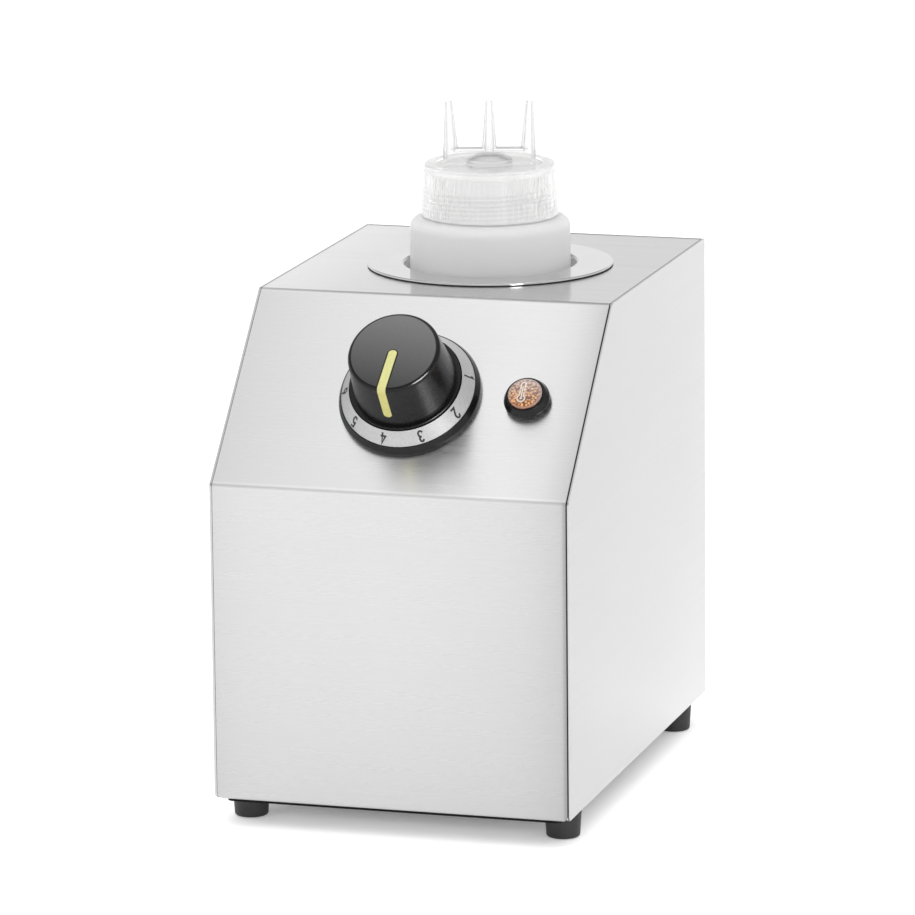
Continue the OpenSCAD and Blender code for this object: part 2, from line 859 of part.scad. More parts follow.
// Lower plate with feet, vents, terminal block and earth stud
module base_plate() {
    x = side_x - base_side_inset;
    y = rear_y - base_end_inset;
    color("silver")
        difference() {
            translate([0, 0, foot_h])
                linear_extrude(base_t)
                    polygon(rounded([
                        [0, -y], [x, -y, corner_r], [x, y, corner_r],
                        [-x, y, corner_r], [-x, -y, corner_r], [0, -y]
                    ]));
            lower_screw_holes();
            for (s = [-1, 1], i = [0:base_vent_rows - 1])
                translate([s * vent_x, base_vent_y + i * base_vent_pitch, foot_h - over])
                    slot(vent_l, vent_w, base_t + 2 * over);
            block_fixings()
                translate([0, 0, foot_h - over])
                    cylinder(r = m3_r + hole_clear, h = base_t + 2 * over);
        }
}

module base_plate_screws() {
    color("silver")
        base_screw_places()
            rotate([180, 0, 0])
                pan_screw(tapper_r, tapper_l, tapper_head_r, tapper_head_h);
}

// One tapered rubber foot with a recess for its screw
module foot(x, y) {
    color("dimgray")
        translate([x, y, 0])
            spun(rounded([
                [foot_recess_r, 0], [foot_tip_d / 2, 0, foot_edge_r], [foot_top_d / 2, foot_h],
                [m4_r + hole_clear, foot_h], [m4_r + hole_clear, foot_recess_h],
                [foot_recess_r, foot_recess_h]
            ]));
}

module foot_front_left() {
    foot(-foot_x, -foot_y);
}

module foot_front_right() {
    foot(foot_x, -foot_y);
}

module foot_rear_left() {
    foot(-foot_x, foot_y);
}

module foot_rear_right() {
    foot(foot_x, foot_y);
}

module foot_screws() {
    shank = flange_top_z + m4_nut_h + over - foot_recess_h;
    color("silver")
        foot_places()
            translate([0, 0, foot_recess_h])
                rotate([180, 0, 0])
                    pan_screw(m4_r, shank, m4_head_r, m4_head_h);
}

module foot_nuts() {
    color("gray")
        foot_places()
            translate([0, 0, flange_top_z])
                hex_nut(m4_nut_af, m4_nut_h, m4_r + shaft_clear);
}

// Deep-drawn pot with a rolled mouth and a flat flange whose upper edge is rounded
module well() {
    r = well_bore_d / 2;
    color("whitesmoke")
        at_well()
            spun(rounded([
                [0, under_pot_z], [well_r, under_pot_z, pot_corner_r + well_t],
                [well_r, flange_z - well_t, lip_r - well_t], [flange_d / 2, flange_z - well_t],
                [flange_d / 2, flange_z, rim_bend_r], [r, flange_z, lip_r], [r, floor_z, pot_corner_r],
                [0, floor_z]
            ]));
}

module flange_seal() {
    color("black")
        at_well(top_z)
            difference() {
                cylinder(r = seal_r, h = flange_seal_t);
                translate([0, 0, -over]) {
                    cylinder(r = top_hole_r, h = flange_seal_t + 2 * over);
                    stud_places()
                        cylinder(r = stud_r + hole_clear, h = flange_seal_t + 2 * over);
                }
            }
}

module well_studs() {
    color("silver")
        at_well(flange_z - well_t - stud_l)
            stud_places()
                cylinder(r = stud_r, h = stud_l);
}

module well_nuts() {
    color("gray")
        at_well(top_z - sheet_t - m4_nut_h)
            stud_places()
                hex_nut(m4_nut_af, m4_nut_h, stud_r + shaft_clear);
}

// Split band round the pot, with two clamp ears on the right and a terminal box on the left
module band_heater() {
    color("tan")
        at_well(heater_z)
            difference() {
                union() {
                    cylinder(r = heater_out_r, h = heater_h);
                    for (s = [0, 1])
                        mirror([0, s, 0])
                            translate([heater_r, heater_split / 2, 0])
                                cube([heater_t + ear_reach, ear_t, heater_h]);
                    translate([-heater_out_r - box_depth, -box_w / 2, box_lift])
                        cube([box_depth + heater_t, box_w, box_h]);
                    for (s = [-1, 1])
                        translate([post_from_axis, s * post_pitch / 2, box_lift - post_l])
                            cylinder(r = post_r, h = post_l + over);
                }
                translate([0, 0, -over])
                    cylinder(r = heater_r, h = heater_h + 2 * over);
                translate([0, -heater_split / 2, -over])
                    cube([2 * heater_out_r, heater_split, heater_h + 2 * over]);
                clamp_place()
                    translate([0, 0, -clamp_span])
                        cylinder(r = clamp_r + hole_clear, h = 2 * clamp_span);
            }
}

module clamp_place() {
    translate([heater_out_r + ear_reach / 2, 0, heater_h / 2])
        rotate([-90, 0, 0])
            children();
}

module heater_clamp_bolt() {
    color("silver")
        at_well(heater_z)
            clamp_place() {
                translate([0, 0, -clamp_span]) {
                    translate([0, 0, -clamp_head_h])
                        cylinder(d = clamp_af / cos(30), h = clamp_head_h, $fn = 6);
                    cylinder(r = clamp_r, h = 2 * clamp_span + clamp_nut_h + over);
                }
                translate([0, 0, clamp_span])
                    hex_nut(clamp_af, clamp_nut_h, clamp_r + shaft_clear);
            }
}

// Fibre jacket round the band, open at the ears and at the terminal box
module heater_insulation() {
    h = heater_h - 2 * insulation_lift;
    window_h = box_lift + box_h - insulation_lift + over;
    color("khaki")
        at_well(heater_z + insulation_lift)
            difference() {
                cylinder(r = insulation_r + insulation_t, h = h);
                translate([0, 0, -over])
                    cylinder(r = insulation_r, h = h + 2 * over);
                translate([0, -clamp_span - clamp_head_h - over, -over])
                    cube([2 * insulation_r, 2 * (clamp_span + clamp_nut_h + 2 * over), h + 2 * over]);
                translate([-2 * insulation_r, -box_w / 2 - over, -over])
                    cube([2 * insulation_r, box_w + 2 * over, window_h + over]);
            }
}

// Snap-disc cut-out against the underside of the pot
module thermal_cutout() {
    color("saddlebrown")
        at_well(under_pot_z - cutout_h)
            difference() {
                union() {
                    cylinder(r = cutout_r, h = cutout_h);
                    translate([-cutout_ear - cutout_ear_w / 2, -cutout_ear_w / 2, cutout_h - cutout_ear_t])
                        cube([2 * cutout_ear + cutout_ear_w, cutout_ear_w, cutout_ear_t]);
                    for (s = [-1, 1])
                        translate([s * cutout_blade_x - blade_t / 2, -blade_w / 2, -blade_l])
                            cube([blade_t, blade_w, blade_l + over]);
                }
                cutout_ears()
                    cylinder(r = m3_r + hole_clear, h = 2 * cutout_h);
            }
}

module cutout_ears() {
    for (s = [-1, 1])
        translate([s * cutout_ear, 0, 0])
            children();
}

module cutout_studs() {
    color("silver")
        at_well(under_pot_z - cutout_stud_l)
            cutout_ears()
                cylinder(r = m3_r, h = cutout_stud_l);
}

module cutout_nuts() {
    color("gray")
        at_well(under_pot_z - cutout_ear_t - m3_nut_h)
            cutout_ears()
                hex_nut(m3_nut_af, m3_nut_h, m3_r + shaft_clear);
}

// Thermostat behind the slope: case, threaded nose, three blades and the capillary's gland
module thermostat_body() {
    back = -sheet_t - stat_depth;
    color("darkslategray")
        on_slope(knob_u, knob_v)
            difference() {
                union() {
                    translate([-stat_w / 2, -stat_l / 2, back])
                        cube([stat_w, stat_l, stat_depth]);
                    translate([0, 0, -sheet_t - over])
                        cylinder(r = stat_boss_r, h = sheet_t + over + stat_boss_h);
                    for (u = stat_blade_u)
                        translate([u - blade_w / 2, stat_blade_v - blade_t / 2, back - blade_l])
                            cube([blade_w, blade_t, blade_l + over]);
                    translate([gland_u, gland_v, back - gland_h])
                        cylinder(r = gland_r, h = gland_h + over);
                }
                translate([0, 0, -spindle_tail - seam])
                    cylinder(r = spindle_d / 2 + shaft_clear, h = spindle_tail + 2 * stat_boss_h);
                for (s = [-1, 1])
                    translate([s * stat_hole_pitch / 2, 0, -sheet_t - stat_screw_l])
                        cylinder(r = m4_r + hole_clear, h = stat_screw_l + over);
            }
}

module d_shaft(r, h, flat_from) {
    difference() {
        cylinder(r = r, h = h);
        translate([r - flat_depth, -r - over, flat_from])
            cube([2 * r, 2 * (r + over), h]);
    }
}

module thermostat_spindle() {
    top = knob_h - crown_t;
    color("lightgray")
        on_slope(knob_u, knob_v)
            rotate(pointer_angle)
                translate([0, 0, -spindle_tail])
                    d_shaft(spindle_d / 2, spindle_tail + top - over, spindle_tail + knob_boss_h + over);
}

module thermostat_screws() {
    color("silver")
        on_slope(knob_u, knob_v)
            for (s = [-1, 1])
                translate([s * stat_hole_pitch / 2, 0, bezel_floor_t])
                    pan_screw(m4_r, bezel_floor_t + stat_screw_l, m4_head_r, m4_head_h);
}

module sensor_bulb() {
    r = bulb_d / 2;
    color("peru")
        translate(around_well(bulb_ring_r, bulb_angle, bulb_z))
            spun(rounded([[0, 0], [r, 0, r * 0.8], [r, bulb_l, r * 0.6], [0, bulb_l]]));
}

// Saddles that hold the bulb against the pot
module bulb_clips() {
    r = bulb_d / 2 + fit_gap / 2;
    reach = 2 * well_r;
    spread = reach * tan(clip_half);
    color("silver")
        for (lift = [clip_low, clip_low + clip_gap])
            at_well(bulb_z + lift)
                rotate(bulb_angle)
                    linear_extrude(clip_h)
                        difference() {
                            union() {
                                translate([bulb_ring_r, 0])
                                    circle(r = r + clip_t);
                                intersection() {
                                    circle(r = well_r + fit_gap / 2 + clip_t);
                                    polygon([[0, 0], [reach, -spread], [reach, spread]]);
                                }
                            }
                            translate([bulb_ring_r, 0])
                                circle(r = r);
                            circle(r = well_r + fit_gap / 2);
                        }
}

module capillary_tube() {
    color("peru")
        tube(capillary_route, capillary_r, sides = 6);
}

// Four-pole block on the base plate
module terminal_block() {
    color("ivory")
        difference() {
            translate([block_x - block_w / 2, block_y - block_d / 2, base_top_z])
                cube([block_w, block_d, block_h]);
            for (i = [0:3])
                translate([pole(i, 0).x, block_y - block_d / 2 - over, pole(i, 0).z])
                    rotate([-90, 0, 0])
                        cylinder(r = lead_r + lead_clear, h = block_d + 2 * over);
            clamp_screws()
                cylinder(r = m3_r + hole_clear, h = block_h);
            block_fixings()
                translate([0, 0, base_top_z - over])
                    cylinder(r = m3_r + hole_clear, h = block_h + 2 * over);
        }
}

module clamp_screws() {
    for (i = [0:3], s = [-1, 1])
        translate([pole(i, 0).x, block_y + s * pole_screw_y, pole(i, 0).z])
            children();
}

module block_fixings() {
    for (s = [-1, 1])
        translate([block_x + s * pole_pitch, block_y, 0])
            children();
}

module terminal_screws() {
    color("gold") {
        clamp_screws()
            translate([0, 0, lead_r + lead_clear])
                cylinder(r = m3_r, h = block_h - pole_h - lead_r - over);
        block_fixings()
            translate([0, 0, base_top_z + block_h])
                pan_screw(m3_r, block_h + base_t + seam, tapper_head_r - over, tapper_head_h);
    }
}

module earth_stud() {
    color("gold")
        translate([earth_x, earth_y, base_top_z])
            cylinder(r = m4_r, h = earth_stud_l);
}

module earth_nuts() {
    color("gold")
        for (z = [base_top_z, base_top_z + m4_nut_h + lug_t])
            translate([earth_x, earth_y, z])
                hex_nut(m4_nut_af, m4_nut_h, m4_r + shaft_clear);
}

// Bush that snaps into the rear panel
module cord_grommet() {
    color("black")
        translate([entry_x, rear_y, entry_z])
            rotate([-90, 0, 0])
                spun(rounded([
                    [entry_bore_r, -sheet_t - entry_flange_t],
                    [entry_hole_r + entry_lip, -sheet_t - entry_flange_t, entry_edge_r],
                    [entry_hole_r + entry_lip, -sheet_t], [entry_hole_r - hole_clear, -sheet_t],
                    [entry_hole_r - hole_clear, 0], [entry_flange_r, 0],
                    [entry_flange_r, entry_flange_t, entry_edge_r], [entry_bore_r, entry_flange_t]
                ]));
}

module line_lead() {
    color("brown")
        tube(line_route, lead_r);
}

module switched_lead() {
    color("firebrick")
        tube(switched_route, lead_r);
}

module cutout_lead() {
    color("firebrick")
        tube(cutout_route, lead_r);
}

module neutral_lead() {
    color("royalblue")
        tube(neutral_route, lead_r);
}

module lamp_leads() {
    color("black") {
        tube(lamp_live_route, lamp_lead_r);
        tube(lamp_neutral_route, lamp_lead_r);
    }
}

// Lead to the earth stud, ending in a ring lug between the two nuts
module earth_lead() {
    color("yellowgreen") {
        tube(earth_route, lead_r);
        translate([earth_x, earth_y, base_top_z + m4_nut_h])
            difference() {
                union() {
                    cylinder(r = lug_r, h = lug_t);
                    translate([-lead_r, -lug_reach, 0])
                        cube([2 * lead_r, lug_reach, lug_t]);
                }
                translate([0, 0, -over])
                    cylinder(r = m4_r + hole_clear, h = lug_t + 2 * over);
            }
    }
}

// The knob's outline, larger by g all round
function knob_outline(g) = rounded([
    [0, knob_base_h], [knob_rim_d / 2 + g, knob_base_h],
    [knob_rim_d / 2 + g, knob_base_h + rim_h + g, rim_edge_r], [knob_grip_d / 2 + g, knob_base_h + rim_h + g],
    [knob_top_d / 2 + g, knob_h + g, knob_edge_r], [0, knob_h + g]
]);

// Where the pointer is let in: outwards along the top, then down the side
module pointer_bar() {
    z = pointer_end_h + pointer_w / 2;
    rotate(pointer_angle) {
        translate([pointer_start, -pointer_w / 2, z])
            cube([knob_rim_d, pointer_w, knob_h]);
        translate([pointer_start, 0, z]) {
            cylinder(d = pointer_w, h = knob_h);
            rotate([0, 90, 0])
                cylinder(d = pointer_w, h = knob_rim_d);
        }
    }
}

// Hollow moulded knob with a hub for the spindle
module knob() {
    inner_top = knob_h - crown_t;
    color("dimgray")
        on_slope(knob_u, knob_v)
            difference() {
                union() {
                    difference() {
                        spun(knob_outline(0));
                        spun([
                            [0, knob_base_h - over], [knob_rim_d / 2 - skirt_wall, knob_base_h - over],
                            [knob_rim_d / 2 - skirt_wall, knob_base_h],
                            [knob_grip_d / 2 - skirt_wall, knob_base_h + rim_h],
                            [knob_top_d / 2 - skirt_wall, inner_top], [0, inner_top]
                        ]);
                    }
                    translate([0, 0, knob_boss_h])
                        cylinder(r = knob_boss_r, h = inner_top - knob_boss_h + over);
                }
                rotate(pointer_angle)
                    translate([0, 0, knob_boss_h - over])
                        d_shaft(spindle_d / 2 + shaft_clear, inner_top - knob_boss_h + over / 2, 2 * over);
                difference() {
                    intersection() {
                        pointer_bar();
                        spun(knob_outline(over));
                    }
                    spun(knob_outline(-inlay_depth));
                }
            }
}

module knob_pointer() {
    color("khaki")
        on_slope(knob_u, knob_v)
            difference() {
                intersection() {
                    pointer_bar();
                    spun(knob_outline(inlay_proud));
                }
                spun(knob_outline(-inlay_depth));
            }
}

// Shallow black bowl that carries the number ring
module dial_bezel() {
    inner = scale_inner_d / 2;
    outer = scale_outer_d / 2;
    color("black")
        on_slope(knob_u, knob_v)
            difference() {
                spun(rounded([
                    [stat_boss_r + inside_run, 0], [bezel_d / 2, 0],
                    [bezel_d / 2, bezel_side_h, bezel_side_r],
                    [outer + bezel_lip, scale_low_h, bezel_lip], [outer + fit_gap, scale_low_h],
                    [outer, scale_low_h - scale_t], [inner, scale_high_h - scale_t],
                    [inner, scale_high_h - scale_t - bezel_wall],
                    [outer - bezel_wall, scale_low_h - scale_t - bezel_lip],
                    [outer - bezel_wall, bezel_floor_t], [stat_boss_r + inside_run, bezel_floor_t]
                ]));
                for (s = [-1, 1])
                    translate([s * stat_hole_pitch / 2, 0, -over])
                        cylinder(r = m4_r + hole_clear, h = bezel_floor_t + 2 * over);
            }
}

// Conical silver ring for the numbers
module dial_scale() {
    color("silver")
        on_slope(knob_u, knob_v)
            spun([
                [scale_outer_d / 2, scale_low_h - scale_t], [scale_outer_d / 2, scale_low_h],
                [scale_inner_d / 2, scale_high_h], [scale_inner_d / 2, scale_high_h - scale_t]
            ]);
}

// Black ring and hollow barrel of the lamp
module lamp_bezel() {
    seat = lens_d / 2 + lens_clear;
    barrel = barrel_d / 2;
    color("black")
        on_slope(lamp_u, lamp_v)
            spun(rounded([
                [barrel - barrel_wall, -barrel_depth], [barrel, -barrel_depth], [barrel, 0],
                [lamp_bezel_d / 2 - lamp_foot_inset, 0], [lamp_bezel_d / 2, lamp_side_h, lamp_side_r],
                [seat + lamp_top_w, lens_edge_h - lens_proud, lamp_top_w],
                [seat, lens_edge_h - lens_proud - lens_clear],
                [seat, lens_seat_h], [barrel - barrel_wall, lens_seat_h]
            ]));
}

module lamp_lens() {
    r = lens_d / 2;
    skirt = barrel_d / 2 - barrel_wall - lens_clear;
    dome = [
        for (i = [dome_steps - 1:-1:0])
            let (k = i / dome_steps)
                [r * k, lens_edge_h + lens_dome * (1 - k * k)]
    ];
    color("orange")
        on_slope(lamp_u, lamp_v)
            spun(rounded(concat(
                [[0, lens_seat_h], [skirt - 1, lens_seat_h], [skirt - 1, -lens_seat_h], [skirt, -lens_seat_h],
                    [skirt, lens_seat_h], [r, lens_seat_h], [r, lens_edge_h, lens_edge_r]],
                dome
            )));
}

// Glass bulb in its holder inside the lamp's barrel
module neon_bulb() {
    holder = barrel_d / 2 - barrel_wall - shaft_clear;
    z = lens_seat_h - seam - neon_l;
    color("orangered")
        on_slope(lamp_u, lamp_v)
            spun(rounded([
                [0, z - bulb_holder_t], [holder, z - bulb_holder_t], [holder, z], [neon_r, z],
                [neon_r, z + neon_l, neon_r * 0.8], [0, z + neon_l]
            ]));
}

module lamp_nut() {
    color("black")
        on_slope(lamp_u, lamp_v)
            translate([0, 0, -sheet_t - lamp_nut_t])
                hex_nut(lamp_nut_af, lamp_nut_t, barrel_d / 2 + shaft_clear);
}

// Blown bottle with a pushed-up base, a round shoulder and a threaded neck
module bottle() {
    r = bottle_d / 2;
    path = [
        [0, floor_z + push_up], [foot_ring_r - push_up - 1, floor_z + push_up, push_up_r],
        [foot_ring_r, floor_z, bead_r], [r, floor_z, bottle_corner_r], [r, shoulder_z, shoulder_r],
        [neck_d / 2, shoulder_z, neck_root_r], [neck_d / 2, neck_top_z]
    ];
    color("azure", 0.8)
        at_well() {
            spun(sheet_outline(path, bottle_wall));
            thread(neck_d / 2 - thread_bite, neck_d / 2 + thread_depth, thread_start_z, neck_turns);
        }
}

module cap_seal() {
    color("white")
        at_well(neck_top_z)
            difference() {
                cylinder(r = ring_bore_d / 2 - disc_clear, h = cap_seal_t);
                translate([0, 0, -over])
                    cylinder(r = neck_d / 2 - bottle_wall, h = cap_seal_t + 2 * over);
            }
}

// Nozzle plate with a round chamber, a long bar and three tapered outlets
module tri_nozzle() {
    lean = atan(tip_lean / tip_h);
    channel_z = disc_z + disc_t - seam;
    tip_base_bore_r = tip_base_r - bar_wall;
    color("azure", 0.8)
        at_well()
            rotate(nozzle_angle)
                difference() {
                    union() {
                        translate([0, 0, disc_z])
                            cylinder(r = ring_bore_d / 2 - disc_clear, h = disc_t);
                        translate([0, 0, disc_z])
                            cylinder(r = lid_hole_r - plug_clear, h = ring_top_z - plug_drop - disc_z);
                        spun(rounded([
                            [0, disc_z], [dome_r, disc_z], [dome_r, ring_top_z + dome_side_h, dome_side_r],
                            [dome_r / 2, ring_top_z + dome_top, dome_top_r], [0, ring_top_z + dome_top]
                        ]));
                        translate([0, 0, disc_z])
                            slot(nozzle_w, bar_w, bar_top_z - disc_z);
                        outlets(lean)
                            cylinder(r1 = tip_base_r, r2 = tip_end_r, h = tip_h);
                    }
                    spun(rounded([
                        [0, disc_z - over], [dome_r - bar_wall, disc_z - over],
                        [dome_r - bar_wall, ring_top_z, dome_side_r - bar_wall],
                        [dome_r / 2 - bar_wall, ring_top_z + dome_top - bar_wall, dome_top_r - bar_wall],
                        [0, ring_top_z + dome_top - bar_wall]
                    ]));
                    translate([0, 0, channel_z])
                        slot(nozzle_w - 2 * bar_wall, bar_w - 2 * bar_wall, bar_top_z - bar_wall - channel_z);
                    outlets(lean)
                        translate([0, 0, -bar_wall - over])
                            cylinder(r1 = tip_base_bore_r, r2 = tip_bore_r, h = tip_h + bar_wall + 2 * over);
                }
}

// Places of the three outlets; the outer two lean outwards
module outlets(lean) {
    for (i = [-1:1])
        translate([i * tip_pitch, 0, bar_top_z])
            rotate([0, i * lean, 0])
                children();
}

// Threaded screw ring with a plain upper band and fine upright ribs
module bottle_collar() {
    low = ring_low_d / 2;
    top = ring_top_d / 2;
    slant = (low - top) / (ring_top_z - ring_z);
    rib_z = ring_z + hem_h;
    band_z = ring_top_z - band_h;
    rib_low = low - slant * hem_h - rib_depth;
    rib_top = low - slant * (band_z - ring_z) - rib_depth;
    color("azure", 0.8)
        at_well() {
            spun(rounded([
                [ring_bore_d / 2, ring_z], [low, ring_z, ring_edge_r], [rib_low + rib_depth, rib_z],
                [rib_low, rib_z], [rib_top, band_z], [rib_top + rib_depth, band_z],
                [top, ring_top_z, ring_edge_r], [lid_hole_r, ring_top_z], [lid_hole_r, lid_z],
                [ring_bore_d / 2, lid_z]
            ]));
            for (i = [0:rib_count - 1])
                rotate(i * 360 / rib_count)
                    translate([rib_low - rib_bite, 0, rib_z - rib_bite])
                        rotate([0, -atan(slant), 0])
                            translate([0, -rib_w / 2, 0])
                                cube([rib_depth + rib_bite, rib_w, band_z - rib_z + 2 * rib_bite]);
            thread(ring_bore_d / 2 + thread_bite, ring_bore_d / 2 - thread_depth,
                thread_start_z + thread_pitch / 2, ring_turns);
        }
}

casing_wrap();
left_side_panel();
right_side_panel();
rear_panel();
base_plate();
rear_panel_screws();
base_plate_screws();
foot_front_left();
foot_front_right();
foot_rear_left();
foot_rear_right();
foot_screws();
foot_nuts();
well();
flange_seal();
well_studs();
well_nuts();
band_heater();
heater_clamp_bolt();
heater_insulation();
thermal_cutout();
cutout_studs();
cutout_nuts();
thermostat_body();
thermostat_spindle();
thermostat_screws();
sensor_bulb();
bulb_clips();
capillary_tube();
terminal_block();
terminal_screws();
earth_stud();
earth_nuts();
cord_grommet();
line_lead();
switched_lead();
cutout_lead();
neutral_lead();
lamp_leads();
earth_lead();
knob();
knob_pointer();
dial_bezel();
dial_scale();
lamp_bezel();
lamp_lens();
neon_bulb();
lamp_nut();
bottle();
cap_seal();
tri_nozzle();
bottle_collar();
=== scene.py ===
"""Countertop bottle warmer: materials, dressed pieces, floor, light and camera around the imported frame."""
import math

import bmesh
import bpy
from mathutils import Matrix, Vector


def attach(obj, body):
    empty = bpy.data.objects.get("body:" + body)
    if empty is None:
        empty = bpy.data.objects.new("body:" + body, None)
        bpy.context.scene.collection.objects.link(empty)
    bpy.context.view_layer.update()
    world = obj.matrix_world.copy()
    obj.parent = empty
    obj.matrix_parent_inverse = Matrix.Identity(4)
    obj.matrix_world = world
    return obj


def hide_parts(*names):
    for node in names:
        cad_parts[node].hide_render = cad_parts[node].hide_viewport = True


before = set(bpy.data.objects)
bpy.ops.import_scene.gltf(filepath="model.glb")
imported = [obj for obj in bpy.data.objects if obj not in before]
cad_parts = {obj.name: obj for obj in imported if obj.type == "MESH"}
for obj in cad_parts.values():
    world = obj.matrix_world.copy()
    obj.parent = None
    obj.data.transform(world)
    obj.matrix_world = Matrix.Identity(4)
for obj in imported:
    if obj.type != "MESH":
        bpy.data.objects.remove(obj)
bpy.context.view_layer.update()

# Sizes and places in millimetres, most of them the part's own, and MM to turn them into metres
MM = 0.001
BODY_W, BODY_D = 160.0, 232.0
CASE_Z, CREASE_Z, TOP_Z = 12.0, 151.4, 224.0
SHEET_T, SEAM_X = 1.0, 78.6
WELL_X, WELL_Y = 2.8, 34.0
BORE_R = 38.0
THREAD_LOW, THREAD_HIGH, THREAD_GAP, THREAD_STARTS = 247.6, 259.0, 2.0, 2
DOME_R, DOME_TOP = 10.0, 271.5
KNOB_U, KNOB_V = 0.1, 50.0
KNOB_H = 34.9
LAMP_U, LAMP_V = 52.4, 50.3
LENS_R, LENS_FACE_R = 7.5, 7.1
POINTER_ANGLE, POINTER_W, POINTER_START = math.radians(-94.2), 4.0, 1.4
DIAG = math.sqrt(0.5)
ACROSS, UPHILL, OUTWARD = Vector((1.0, 0.0, 0.0)), Vector((0.0, DIAG, DIAG)), Vector((0.0, -DIAG, DIAG))
POINTER_ALONG = ACROSS * math.cos(POINTER_ANGLE) + UPHILL * math.sin(POINTER_ANGLE)
POINTER_ACROSS = UPHILL * math.cos(POINTER_ANGLE) - ACROSS * math.sin(POINTER_ANGLE)

scene = bpy.context.scene
scene.view_settings.view_transform = "Standard"
scene.view_settings.look = "None"


def link(obj):
    scene.collection.objects.link(obj)
    return obj


def on_slope(u, v, h):
    """A point of the slope, from millimetres: u to the right, v up from the crease, h out of it."""
    return Vector((u, -BODY_D / 2 + (v - h) * DIAG, CREASE_Z + (v + h) * DIAG)) * MM


def grey(tone):
    return (tone, tone, tone)


def dial_point(radius, angle, h):
    a = math.radians(angle)
    return on_slope(KNOB_U + radius * math.cos(a), KNOB_V + radius * math.sin(a), h)


# Camera, from a solve on the casing's straight edges in the photo
FOCAL_PX, FRAME_PX, SENSOR = 6659.3, 915.0, 36.0
AZIMUTH, ELEVATION, ROLL = (math.radians(a) for a in (16.59, 12.3, -0.58))
CAMERA_SIDE, CAMERA_RISE, CAMERA_DIST = -4.4, 127.9, 2973.8


def add_camera():
    back = Vector((
        math.sin(AZIMUTH) * math.cos(ELEVATION),
        -math.cos(AZIMUTH) * math.cos(ELEVATION),
        math.sin(ELEVATION),
    ))
    right = Vector((math.cos(AZIMUTH), math.sin(AZIMUTH), 0.0))
    up = back.cross(right)
    cam_x = right * math.cos(ROLL) + up * math.sin(ROLL)
    cam_y = up * math.cos(ROLL) - right * math.sin(ROLL)
    place = (cam_x * CAMERA_SIDE + cam_y * CAMERA_RISE + back * CAMERA_DIST + Vector((0, 0, CASE_Z))) * MM
    data = bpy.data.cameras.new("camera")
    data.lens = FOCAL_PX / FRAME_PX * SENSOR
    data.sensor_width = SENSOR
    data.clip_start = 0.1
    data.clip_end = 50.0
    camera = link(bpy.data.objects.new("camera", data))
    axes = Matrix((cam_x, cam_y, back)).transposed()
    camera.matrix_world = Matrix.Translation(place) @ axes.to_4x4()
    scene.camera = camera


add_camera()


# Building blocks of materials, and the Mix node's sockets that carry colours
COLOR_A, COLOR_B, COLOR_RESULT = 6, 7, 2


